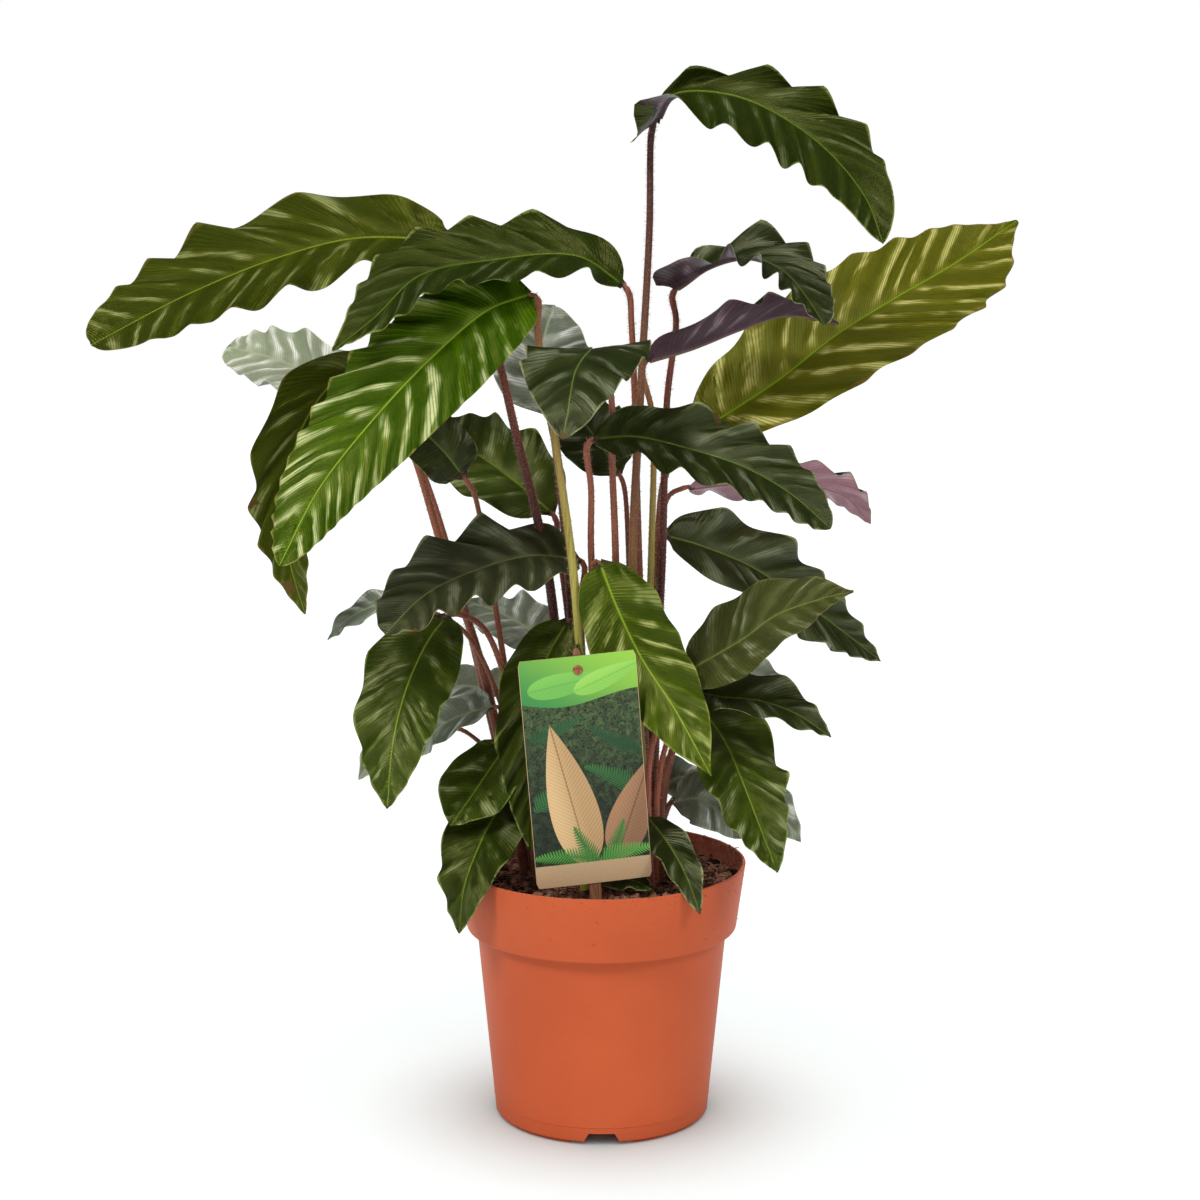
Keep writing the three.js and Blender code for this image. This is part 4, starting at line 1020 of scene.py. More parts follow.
        faces=[(.1, .6, .75), (-.7, .2, .85)], fold=(12, 8), stalk=[(-33, 182, 16), (-43, 196, 14)],
        ruffle=2.6, pleat=1.4,
    ),
    "behind_card": dict(
        shoot="middle_front", halfWidth=22, stalkRadius=2, tone="shade",
        midrib=[(-20, 297, 16), (-32, 276, 25), (-39, 242, 34), (-40, 202, 40), (-40, 168, 41)],
        faces=[(-.1, .6, .75), (.1, .2, .95)], fold=(12, 8), stalk=[(-16, 240, 13), (-17, 287, 13)],
        ruffle=4.2, waves=6, pleat=1.4,
    ),
    "rim_right": dict(
        shoot="right_front", halfWidth=12, stalkRadius=1.5, tone="deep",
        midrib=[(27, 184, 26), (36, 175, 37), (47, 161, 62), (55, 142, 78)],
        faces=[(.2, .65, .75), (.3, .4, .85)], stalk=[(22, 176, 26)], scorch=[(1, 0, 5)], pleat=1.2,
    ),
    "pale_right_back": dict(
        shoot="right_back", halfWidth=14, stalkRadius=1.5, tone="silvery",
        midrib=[(35, 190, -20), (47, 197, -22), (62, 195, -24)], faces=[(0, .7, .7), (0, .7, .7)],
        stalk=[(32, 177, -16)],
    ),
    "pale_right": dict(
        shoot="right", halfWidth=18, stalkRadius=1.6, tone="silvery",
        midrib=[(43, 187, -2), (56, 189, 0), (69, 182, 4), (84, 167, 8)], faces=[(0, .7, .7), (.2, .7, .7)],
        stalk=[(37, 174, -1)],
    ),
    "right_tip": dict(
        shoot="right_back", halfWidth=18, stalkRadius=1.7, tone="silvery",
        midrib=[(59, 190, -34), (79, 191, -34), (101, 179, -32), (120, 155, -30)],
        faces=[(.1, .8, .6), (.3, .6, .7)], stalk=[(42, 180, -30)],
    ),
    "on_soil": dict(
        shoot="middle", halfWidth=10, stalkRadius=1.4, tone="deep",
        midrib=[(0, 149, 32), (10, 151, 36), (20, 150, 40), (29, 146, 44)],
        faces=[(0, .85, .5), (.1, .85, .5)], fold=(12, 8), stalk=[(7, 149, 12), (5, 149, 18), (1, 150, 25)],
    ),
    "left_tip": dict(
        shoot="left_back", halfWidth=15, stalkRadius=1.6, tone="silvery",
        midrib=[(-92, 224, -36), (-112, 221, -42), (-133, 210, -42), (-147, 191, -40)],
        faces=[(0, .75, .65), (-.2, .7, .7)], stalk=[(-60, 203, -22), (-79, 220, -34)],
    ),
    "dark_far_left": dict(
        shoot="left_front", halfWidth=20, stalkRadius=1.9, tone="deep",
        midrib=[(-80, 380, 2), (-89, 393, 6), (-101, 406, 10), (-114, 424, 14)],
        faces=[(0, .6, .8), (0, .6, .8)], stalk=[(-56, 265, 0), (-68, 343, 0), (-74, 371, 0)],
    ),
}


# A margin wave from -1 to 1, its crests round to pointed and its hollows round.
def ruffleWave(angle, pointed):
    return pointed * (1 - 2 * np.abs(np.sin(angle / 2)) ** 1.4) + (1 - pointed) * np.cos(angle)


# A slow wandering value around 0, its own for every seed.
def wander(value, seed):
    waves = ((0.5, 1, 1), (0.3, 1.7, 2.3), (0.2, 3.1, 4.1))
    return sum(height * np.sin(pitch * value + shift * seed) for height, pitch, shift in waves)


def bladeOutline(share, base, tip):
    widest = base / (base + tip)
    share = np.clip(share, 0, 1)
    return share ** base * (1 - share) ** tip / (widest ** base * (1 - widest) ** tip)


# The upper side of a blade, for side veins 0 to 1 and -1 to 1 across, and what its pattern needs.
def bladeSurface(leaf, seed, vein, across):
    line = smoothLine(toFrameMm(leaf["midrib"]))
    length = lineLengths(line)[-1]
    look = {**bladeSettings, **leaf}
    away, right = np.abs(across), across > 0
    forward = look["sweep"] * np.sin(np.pi * vein ** 0.85)
    margin = vein + forward
    share = np.clip(vein + forward * away ** 1.2, 0, 1)
    middle = alongLine(line, share)
    ahead = lineDirection(line, share)
    base, tip = (unit(toFrame([way])[0] - toFrame([(0, 0, 0)])[0]) for way in leaf["faces"])
    face = base + (tip - base) * share[..., None]
    side = unit(np.cross(ahead, face))
    up = np.cross(side, ahead)
    size = min(1, leaf["halfWidth"] / look["fullSize"])

    def bySide(key, usual=(1, 1)):
        return np.where(right, leaf.get(key, usual)[1], leaf.get(key, usual)[0])

    waves = leaf.get("waves", max(2, round(length / look["waveLength"])))
    half = np.where(right, 1.0, 2.0)
    turn = waves * vein + bySide("phase", (0.5, 0.0)) + 0.22 * wander(6 * vein, seed + half)
    wave = ruffleWave(2 * np.pi * turn, look["pointed"])
    calm = 1 - look["calm"] * smoothStep(*look["calmFrom"], vein)
    strength = smoothStep(0, 0.1, vein) * calm * smoothStep(1.0, 0.9, vein)
    strength = strength * (1 + 0.6 * wander(7 * vein, seed + 3 * half)) * bySide("ruffled")
    baseFullness = look["fullness"][0] * look["baseShare"] * bySide("baseSides")
    outline = bladeOutline(margin, baseFullness, look["fullness"][1] * bySide("tipSides"))
    outline = outline * (1 - look["point"] * smoothStep(look["pointFrom"], 1.0, margin) ** 2)
    half = leaf["halfWidth"] * outline * bySide("wide")
    # a lobe beside the stalk, rolled up
    nearStalk = smoothStep(look["lobeEnd"], 0.0, vein)
    lobe = bySide("lobes", (0, 0)) * nearStalk
    half = np.sqrt(half ** 2 + (0.8 - 0.55 * vein) ** 2) + lobe
    out = half * away * (1 + look["scallop"] * wave * away * strength)
    baseFold, tipFold = look["fold"]
    fold = np.radians(baseFold + (tipFold - baseFold) * share)
    fold = fold + np.radians(bySide("rolled", (0, 0))) * nearStalk
    bend = fold - np.radians(look["curl"]) * away * 0.5
    lift = look["ruffle"] * size * strength * wave * away ** 1.9
    pleats = vein * length / look["pleatLength"] + 0.4 * wander(12 * vein, seed + right)
    pleats = pleats + 0.1 * wander(7 * away, seed)
    pleatWave = np.cos(2 * np.pi * pleats + 0.4 * np.sin(2 * np.pi * pleats))
    pleatWave = pleatWave + 0.25 * np.cos(4.6 * np.pi * pleats + seed)
    patch = (0.75 + 0.6 * wander(11 * vein + 5 * away, 2 * seed + right)) * (1.1 - 0.6 * vein)
    pleatLift = look["pleat"] * size * patch * pleatWave * (0.4 + 0.6 * away) * smoothStep(0, 0.25, away)
    lift = lift + pleatLift * (1 - 0.8 * away ** 6)
    lift = lift + 0.6 * wander(9 * share, seed) * np.sin(across * 2.3 + seed * 2) * away
    sideways = out * np.cos(bend) - lift * np.sin(bend)
    upward = out * np.sin(bend) + lift * np.cos(bend)
    points = middle + side * (np.sign(across) * sideways)[..., None] + up * upward[..., None]
    points = points - ahead * (lobe * away)[..., None]
    scorch = np.zeros_like(share)
    for at, edge, size in leaf.get("scorch", ()):
        reach = np.hypot((share - at) * length, (across - edge) * half)
        scorch = np.maximum(scorch, 1 - reach / size)
    values = {
        "ribMm": vein * length + 0.12 * out + 40 * seed,
        "spineMm": out,
        "edgeMm": np.maximum(half - out, 0) + 6 * (half < 2),
        "along": share,
        "crest": pleatWave,
        "scorch": np.clip(scorch, 0, 1),
    }
    return points, up, values


def leafPiece(name, leaf, seed):
    length = lineLengths(smoothLine(toFrameMm(leaf["midrib"])))[-1]
    rows = round(length / bladeSettings["rowSpacing"]) + 1
    isNarrow = leaf["halfWidth"] <= bladeSettings["narrow"]
    sideColumns = bladeSettings["narrowColumns" if isNarrow else "columns"]
    spread = np.linspace(-1, 1, 2 * sideColumns + 1)
    across, vein = np.meshgrid(np.sign(spread) * np.abs(spread) ** 1.25, np.linspace(0, 1, rows))
    upper, up, values = bladeSurface(leaf, seed, vein, across)
    slope = np.cross(np.gradient(upper, axis=0), np.gradient(upper, axis=1))
    slope = unit(slope) * np.sign(np.sum(slope * up, axis=-1, keepdims=True))
    normal = unit(slope + 0.02 * up)
    # the midrib stands out below and lies in a groove above, thinning to the tip
    rib = 0.9 * leaf["stalkRadius"] * 0.75 * (1 - values["along"]) ** 0.8 + 0.2
    bulge = np.exp(-(values["spineMm"] / rib) ** 2)
    thickness = bladeSettings["thickness"] * (1 - 0.4 * np.abs(across) ** 4) + 1.3 * rib * bulge
    upper = upper - normal * (0.22 * rib * bulge)[..., None]
    lower = upper - normal * thickness[..., None]
    points = np.concatenate([upper.reshape(-1, 3), lower.reshape(-1, 3)]) / 1000
    faces, slots = sheetFaces(rows, len(spread), 0)
    spreadUv = np.stack([0.5 + 0.5 * across, vein], -1).reshape(-1, 2)
    # a pink leaf shows its underside
    underside, tone = ("pink", "deep") if leaf["tone"] == "pink" else ("wine", leaf["tone"])
    piece = makePiece(
        "foliage_" + name, points, faces, [upperFinish[tone], underFinish[underside]], faceSlots=slots,
        values={key: np.tile(value.reshape(-1), 2) for key, value in values.items()},
        uv=np.concatenate([spreadUv, spreadUv]), sharp=50,
    )
    return settle(piece, "leaf_blade", "leaf_" + name)


for number, (name, leaf) in enumerate(leaves.items()):
    leafPiece(name, leaf, number * bladeSettings["seedStep"])
print("leaves ready:", len(leaves))


stalkSettings = {
    "soilHeight": 138,
    "spread": 0.5,              # how far out in its crown a stalk starts
    "stepLength": 3.5,          # mm between rings of points
    "sides": 14,
    "crownSides": 24,
    "crownBumps": (0.5, 0.4),   # how high and how close they are
    # the crown's outline: shares of its radius, and heights over the soil
    "crownProfile": (
        (0, -14), (0.8, -14), (1, -10), (1.02, -2), (0.95, 2), (0.75, 4.5), (0.4, 6), (0, 6.4),
    ),
    "crownSeed": 5,
    "hairSeed": 3,
}

# Hairs on a square metre of stalk, their length and thickness in metres.
hairSettings = dict(Density=460000.0, Length=0.0019, Thickness=0.00012)

# Every shoot: right and near of its foot, and the radius of its crown.
shoots = {
    "left_back": ((-40, -10), 7.5), "left_front": ((-32, 13), 7.5), "middle_back": ((-14, -25), 7),
    "middle_front": ((-8, 20), 7), "middle": ((7, 4), 6), "right_front": ((26, 23), 6.5),
    "right": ((31, 2), 6.5), "right_back": ((25, -22), 9),
}

# Stalk colours at the soil, half way and at the blade.
stalkTints = {
    "red": (paint(124, 72, 46), paint(140, 78, 54), paint(146, 80, 58)),
    "dark": (paint(108, 54, 44), paint(80, 36, 34), paint(140, 72, 56)),
    "lime": (paint(174, 180, 70), paint(184, 176, 80), paint(146, 82, 58)),
    "crown": (paint(174, 176, 74), paint(134, 86, 54), paint(68, 33, 35)),
    "pink": (paint(204, 126, 104), paint(188, 106, 84), paint(150, 80, 60)),
}
crownTint = paint(110, 70, 52)


# What a stalk is at each of its rings: the line it follows, its radius and its colour.
def stalkRings(leaf, start):
    blade = smoothLine(toFrameMm(leaf["midrib"]))
    ahead = lineDirection(blade, np.array([0.0]))[0]
    end = blade[0] - ahead * 0.4
    places = toFrameMm(leaf["stalk"])
    arriving = unit(ahead + unit(end - places[-1]))
    route = np.vstack([[start], places, [end - arriving * 6], [end]])
    line = smoothLine(route)
    length = lineLengths(line)[-1]
    share = np.linspace(0, 1, max(10, round(length / stalkSettings["stepLength"])))
    line = alongLine(line, share)
    radius = leaf["stalkRadius"] * (1.28 - 0.55 * share ** 0.8)
    # a sheath at the soil and a swollen joint at the blade
    radius = radius + 1.1 * np.exp(-share * length / 16)
    radius = radius * (1 + 0.08 * smoothStep(length - 15, length - 9, share * length))
    radius[-1] *= 0.7
    foot, half, top = (np.array(colour) for colour in stalkTints[leaf.get("tint", "red")])
    share = share[:, None]
    tint = np.where(share < 0.5, foot + (half - foot) * share * 2, half + (top - half) * (share - 0.5) * 2)
    return line, radius, tint


# The way a leaf stalk leans from its shoot's foot, as a turn round it.
def leanOf(leaf, foot):
    right, height, near = leaf["stalk"][0]
    return math.atan2(near - foot[1], right - foot[0])


def shootPiece(name, foot, crownRadius):
    own = [leaf for leaf in leaves.values() if leaf["shoot"] == name]
    own.sort(key=lambda leaf: leanOf(leaf, foot))
    step = 2 * math.pi / len(own)
    firstTurn = np.mean([leanOf(leaf, foot) - number * step for number, leaf in enumerate(own)])
    allPoints, allFaces, tints = [], [], []

    def add(points, faces, tint):
        shift = sum(len(part) for part in allPoints)
        allPoints.append(points)
        allFaces.extend(tuple(index + shift for index in face) for face in faces)
        tints.append(tint)

    right, near = foot
    ground, sides = stalkSettings["soilHeight"], stalkSettings["sides"]
    reach = stalkSettings["spread"] * crownRadius
    for number, leaf in enumerate(own):
        turn = firstTurn + number * step
        start = (right + reach * math.cos(turn), ground - 4, near + reach * math.sin(turn))
        line, radius, tint = stalkRings(leaf, toFrameMm(start))
        tint = np.vstack([tint[:1], np.repeat(tint, sides, axis=0), tint[-1:]])
        add(*tube(line, radius, sides), tint)
    # the crown the stalks grow from
    centre = toFrameMm((right, 0, near))
    profile = [(share * crownRadius, ground + height) for share, height in stalkSettings["crownProfile"]]
    points, faces = turned(profile, stalkSettings["crownSides"], centre)
    bump, pitch = stalkSettings["crownBumps"]
    noise.seed_set(stalkSettings["crownSeed"])
    for point in points:
        point[:2] += bump * np.array(noise.noise_vector(point * pitch))[:2]
    add(points, faces, np.tile(crownTint, (len(points), 1)))
    points, values = np.vstack(allPoints) / 1000, {"tint": np.vstack(tints)}
    piece = makePiece("shoot_" + name, points, allFaces, [stalkSurface], values=values)
    return settle(piece, "leaf_stalk", "stalks_" + name)


# Short pointed hairs all over a piece, leaning every way.
def hairNodes():
    tree, given, result = growthGroup(
        "stalkHairs",
        [("Density", "Float", 400000.0), ("Length", "Float", 0.0016), ("Thickness", "Float", 0.0001)],
    )
    inputs = {"Mesh": given["Geometry"], "Density": given["Density"], "Seed": given["Seed"]}
    spread = addNode(tree, "GeometryNodeDistributePointsOnFaces", inputs).outputs
    inputs = {"Vertices": 3, "Radius Top": 0.0, "Radius Bottom": given["Thickness"],
              "Depth": given["Length"]}
    hair = addNode(tree, "GeometryNodeMeshCone", inputs, fill_type="NONE").outputs["Mesh"]
    lean = chanceNode(tree, (-0.6, -0.6, 0), (0.6, 0.6, 6.28), given["Seed"])
    turn = addNode(tree, "FunctionNodeEulerToRotation", {0: lean}).outputs[0]
    inputs = {0: spread["Rotation"], 1: turn}
    facing = addNode(tree, "FunctionNodeRotateRotation", inputs, rotation_space="LOCAL").outputs[0]
    plantBits(tree, given, result, spread["Points"], hair, facing, chanceNode(tree, 0.45, 1.2, 11))
    return tree


stalkSurface = stalkFinish()
hairTree = hairNodes()
hairSurface = hairFinish()
for number, (name, (foot, crownRadius)) in enumerate(shoots.items()):
    shoot = shootPiece(name, foot, crownRadius)
    seed = number + stalkSettings["hairSeed"]
    hairs = grow("hairs_" + name, shoot, hairTree, Seed=seed, Material=hairSurface, **hairSettings)
    settle(hairs, "leaf_stalk")
print("shoots ready:", len(shoots))


potSettings = {
    "sides": 200,
    "height": 152,
    "rimRadius": 85,
    "wall": 1.6,
    "collarHeight": 38.7,
    "collarRadiusBelow": 79.6,
    "bodyRadiusTop": 73.9,
    "bodyRadiusFoot": 64.2,
    "partingHeight": 10.6,
    "floor": (4, 6),            # underside and top of the pot's floor
    "footRing": (57.5, 61.5, 1.9),  # inner and outer radius, height
    "notch": (24, 15, 7),       # width below, width above, height
    "ringGap": 36,
    "drainHoles": (6, 38, 5),   # how many, how far out, radius
}


# Points round a corner of a profile, so that the edge catches the light.
def roundCorner(corner, before, after, radius, steps=4):
    corner, before, after = (np.array(point, float) for point in (corner, before, after))
    start = corner + unit(before - corner) * radius
    end = corner + unit(after - corner) * radius
    shares = np.linspace(0, 1, steps + 1)[:, None]
    return list((1 - shares) ** 2 * start + 2 * shares * (1 - shares) * corner + shares ** 2 * end)


# A profile of (radius, height, roundness of the corner) as plain (radius, height) points.
def roundedProfile(points):
    profile = []
    for index, (radius, height, fillet) in enumerate(points):
        if fillet:
            profile += roundCorner((radius, height), points[index - 1][:2], points[index + 1][:2], fillet)
        else:
            profile.append((radius, height))
    return [(float(radius), float(height)) for radius, height in profile]


# Radius of the pot's inner wall.
def insideOf(height):
    pot = potSettings
    bodyHeight = pot["height"] - pot["collarHeight"]
    if height < bodyHeight:
        share = (height - pot["partingHeight"]) / (bodyHeight - pot["partingHeight"])
        return pot["bodyRadiusFoot"] + share * (pot["bodyRadiusTop"] - pot["bodyRadiusFoot"]) - pot["wall"]
    share = (height - bodyHeight) / pot["collarHeight"]
    return pot["collarRadiusBelow"] + share * (pot["rimRadius"] - pot["collarRadiusBelow"]) - pot["wall"]


# Takes the cutters' shapes out of a piece.
def cutAway(piece, cutters):
    for cutter in cutters:
        modifier = piece.modifiers.new("cut", "BOOLEAN")
        modifier.operation = "DIFFERENCE"
        modifier.solver = "EXACT"
        modifier.object = cutter
    mesh = evaluatedMesh(piece)
    piece.modifiers.clear()
    whole = piece.data
    piece.data = mesh
    bpy.data.meshes.remove(whole)
    for cutter in cutters:
        removePiece(cutter)


# Turned round the pot's own axis, from (radius, height) pairs in millimetres.
def turnedAtPot(name, profile, sides, materials, centre=(0, 0)):
    points, faces = turned(profile, sides, centre)
    points = points / 1000 + (potMiddle.x, potMiddle.y, 0)
    return makePiece(name, points, faces, materials)


def potPiece():
    pot = potSettings
    under, floor = pot["floor"]
    ringInner, ringOuter, ringHeight = pot["footRing"]
    foot, parting = pot["bodyRadiusFoot"], pot["partingHeight"]
    bodyHeight = pot["height"] - pot["collarHeight"]
    step = bodyHeight + pot["wall"]
    piece = turnedAtPot("grower_pot", roundedProfile([
        (0, under, 0), (ringInner, under, 0.6), (ringInner, 0, 0.5), (ringOuter, 0, 0.5),
        (ringOuter, ringHeight, 0.3), (foot - 0.6, ringHeight, 0.8), (foot - 0.25, parting - 0.4, 0),
        (foot + 0.1, parting, 0), (foot, parting + 0.5, 0), (pot["bodyRadiusTop"], bodyHeight, 1.2),
        (pot["collarRadiusBelow"], bodyHeight, 1.1), (pot["rimRadius"], pot["height"], 0.75),
        (pot["rimRadius"] - pot["wall"], pot["height"], 0.55), (insideOf(step), step, 1),
        (insideOf(bodyHeight - 0.1), step, 0.8), (insideOf(floor), floor, 1.5), (0, floor, 0),
    ]), pot["sides"], [potSurface])
    # a gap in the foot ring and a notch behind it on four sides
    cutters = []
    below, above, notchHeight = pot["notch"]
    wide = pot["ringGap"] / 2
    tooth = [(-below / 2, -1), (below / 2, -1), (above / 2, notchHeight), (-above / 2, notchHeight)]
    gap = [(-wide, -1), (wide, -1), (wide, ringHeight - 0.05), (-wide, ringHeight - 0.05)]
    cuts = ((tooth, ringInner - 2.5, ringInner + 20), (gap, ringInner - 4, ringOuter + 0.6))
    boxFaces = [(0, 1, 2, 3), (7, 6, 5, 4), (0, 4, 5, 1), (1, 5, 6, 2), (2, 6, 7, 3), (3, 7, 4, 0)]
    for quarter in range(4):
        turn = quarter * math.pi / 2
        cos, sin = math.cos(turn), math.sin(turn)
        for outline, inner, outer in cuts:
            corners = [(x, depth, z) for depth in (inner, outer) for x, z in outline]
            places = [(x * cos + depth * sin, z, depth * cos - x * sin) for x, depth, z in corners]
            cutters.append(makePiece("notch", toFrame(places), boxFaces, []))
    holes, out, radius = pot["drainHoles"]
    for hole in range(holes):
        turn = 2 * math.pi * hole / holes
        centre = (out * math.cos(turn), out * math.sin(turn))
        cutters.append(turnedAtPot("drill", [(0, -5), (radius, -5), (radius, 12), (0, 12)], 32, [], centre))
    cutAway(piece, cutters)
    piece.data.shade_smooth()
    piece.data.set_sharp_from_angle(angle=math.radians(38))
    return settle(piece, "pot_plastic", "pot")


soilSettings = {
    "height": 139.5,
    "clump": 3.8,               # height of the lumps
    "rings": 66,
    "sides": 190,
    "bottom": 6.4,
    "slack": 0.4,               # between it and the pot's wall
}

# Crumbs and fibres on the soil and round the rim: how many on a square metre, and in metres how large they
# are, from which height up and how far from the pot's axis they lie.
scatterSettings = {
    "soil_crumbs": dict(Density=230000.0, Size=0.0019, FromHeight=0.1335, Reach=0.0785, Seed=4),
    "soil_fibres": dict(Density=70000.0, Size=0.009, Thickness=0.00032, FromHeight=0.1335, Reach=0.073,
                        Seed=9),
    "rim_dirt": dict(Density=60000.0, Size=0.0006, FromHeight=0.1395, Seed=21),
    "rim_roots": dict(Density=30000.0, Size=0.0034, Thickness=0.00022, FromHeight=0.151, Seed=23),
}


# Height of the soil's top over a place in the pot.
def soilTop(x, y):
    low = 0.6 * math.sin(x / 9 + 1) * math.cos(-y / 11) + 0.4 * math.sin((x - y) / 6)
    lumps = noise.fractal((x * 0.13, y * 0.13, 4.2), 1.0, 2.1, 5)
    return soilSettings["height"] + 1.2 * low + soilSettings["clump"] * lumps


def soilPiece():
    soil = soilSettings
    bodyHeight = potSettings["height"] - potSettings["collarHeight"]
    step = bodyHeight + potSettings["wall"]
    edge = insideOf(soil["height"]) - 0.35
    bottom, slack = soil["bottom"], soil["slack"]
    sides = [(0, bottom), (insideOf(bottom) - slack, bottom),
             (insideOf(bodyHeight - 0.1) - slack, step + slack), (insideOf(step) - slack, step + slack)]
    top = [(edge * (1 - ring / soil["rings"]) ** 0.85, soil["height"]) for ring in range(soil["rings"])]
    points, faces = turned(sides + top + [(0, soil["height"])], soil["sides"])
    first = 1 + soil["sides"] * (len(sides) - 1)
    for point in points[first:]:
        point[2] = soilTop(point[0], -point[1])
    points = points / 1000 + (potMiddle.x, potMiddle.y, 0)
    piece = makePiece("potting_soil", points, faces, [soilSurface])
    return settle(piece, "potting_soil", "soil")


# Points scattered over a mesh, above one height and no farther from an axis than Reach, where the mesh
# doesn't face away from that axis.
def scatterNodes(tree, given):
    place = addNode(tree, "GeometryNodeInputPosition").outputs[0]
    normal = addNode(tree, "GeometryNodeInputNormal").outputs[0]
    height = addNode(tree, "ShaderNodeSeparateXYZ", {0: place}).outputs["Z"]
    flat = fromAxis(tree, place, given["Axis"])
    outwards = vectorCalc(tree, "DOT_PRODUCT", flat, normal, "Value")
    away = vectorCalc(tree, "LENGTH", flat, output="Value")
    chosen = calc(tree, "GREATER_THAN", height, given["FromHeight"])
    chosen = times(tree, chosen, calc(tree, "LESS_THAN", outwards, 0.02))
    chosen = times(tree, chosen, calc(tree, "LESS_THAN", away, given["Reach"]))
    inputs = {"Mesh": given["Geometry"], "Selection": chosen, "Density": given["Density"],
              "Seed": given["Seed"]}
    return addNode(tree, "GeometryNodeDistributePointsOnFaces", inputs).outputs["Points"]


scatterInputs = [
    ("Density", "Float", 1000.0), ("Size", "Float", 0.001), ("FromHeight", "Float", 0.0),
    ("Reach", "Float", 1.0), ("Axis", "Vector", potAxis),
]


# Crumbs of soil: small uneven lumps, a few of them large.
def crumbNodes():
    tree, given, result = growthGroup("soilCrumbs", scatterInputs)
    points = scatterNodes(tree, given)
    inputs = {"Radius": given["Size"], "Subdivisions": 1}
    lump = addNode(tree, "GeometryNodeMeshIcoSphere", inputs).outputs["Mesh"]
    turn = chanceNode(tree, (0, 0, 0), (6.3, 6.3, 6.3), 7)
    shape = chanceNode(tree, (0.5, 0.6, 0.4), (1.3, 1.5, 1.0), 8)
    size = timesPlus(tree, calc(tree, "POWER", chanceNode(tree, 0.0, 1.0, 9), 5.0), 1.5, 0.45)
    scale = addNode(tree, "ShaderNodeVectorMath", {0: shape, "Scale": size}, operation="SCALE").outputs[0]
    plantBits(tree, given, result, points, lump, turn, scale)
    return tree


# Bits of root and peat: short bent threads that lie on the soil.
def fibreNodes():
    tree, given, result = growthGroup("soilFibres", scatterInputs + [("Thickness", "Float", 0.0002)])
    points = scatterNodes(tree, given)
    half = times(tree, given["Size"], 0.5)
    ends = [{0: times(tree, half, -1.0)}, {0: times(tree, half, 1.0)}, {1: half, 2: times(tree, half, 0.35)}]
    start, end, bow = (addNode(tree, "ShaderNodeCombineXYZ", inputs).outputs[0] for inputs in ends)
    inputs = {"Resolution": 5, "Start": start, "Middle": bow, "End": end}
    thread = addNode(tree, "GeometryNodeCurveQuadraticBezier", inputs).outputs[0]
    inputs = {"Resolution": 3, "Radius": given["Thickness"]}
    section = addNode(tree, "GeometryNodeCurvePrimitiveCircle", inputs).outputs[0]
    inputs = {"Curve": thread, "Profile Curve": section, "Fill Caps": True}
    body = addNode(tree, "GeometryNodeCurveToMesh", inputs).outputs[0]
    turn = chanceNode(tree, (-0.35, -0.35, 0), (0.35, 0.35, 6.28), 17)
    shape = chanceNode(tree, (0.3, -0.8, 0.6), (1.6, 0.9, 1.6), 18)
    plantBits(tree, given, result, points, body, turn, shape)
    return tree


potSurface = potFinish()
soilSurface = soilFinish("pottingSoil", "soil")
crumbSurface = soilFinish("soilCrumb", "crumb", glints=0.9)
fibreSurface = soilFinish("rootFibre", "rootFibre")
pot = potPiece()
print("pot ready")

soil = soilPiece()
crumb, fibre = (crumbNodes(), crumbSurface), (fibreNodes(), fibreSurface)
scattered = {
    "soil_crumbs": (soil, *crumb), "soil_fibres": (soil, *fibre),
    "rim_dirt": (pot, *crumb), "rim_roots": (pot, *fibre),
}
for name, (base, tree, finish) in scattered.items():
    bits = grow(name, base, tree, Material=finish, Axis=potAxis, **scatterSettings[name])
    settle(bits, "potting_soil")
print("soil ready")


labelSettings = {
    "stakeFoot": (-1.4, 118, 46.4),
    "stakeTip": (-14.4, 290, 60.7),
    "stakeWidth": 7,
    "stakeThickness": 1.6,
    "turn": 7.4,                # degrees that the card is turned about its stake
    "cardTop": 285.7,
    "cardDepth": 1.5,           # how far the card stands in front of the stake's middle
    "cardThickness": 0.55,
    "cardGrid": (44, 28),       # rows and columns of faces
    "cornerRadius": 1.2,
    "bow": 0.5,                 # how far the card's sides curl away from the viewer
    "pinDrop": 8,
    "pinHead": (2.8, 1.2),      # radius and height of its dome
    "pinLength": 3.6,
}


# The label's own directions (across, back, up) and places on its stake, in millimetres of the frame.
def labelFrame():
    look = labelSettings
    foot, tip = (toFrameMm(look[key]) for key in ("stakeFoot", "stakeTip"))
    up = unit(tip - foot)
    turn = math.radians(look["turn"])
    level = np.array([math.cos(turn), math.sin(turn), 0])
    across = unit(level - up * np.dot(level, up))
    return foot, tip, across, np.cross(up, across), up


def onStake(height):
    foot, tip = labelFrame()[:2]
    return foot + (tip - foot) * (height - foot[2]) / (tip[2] - foot[2])


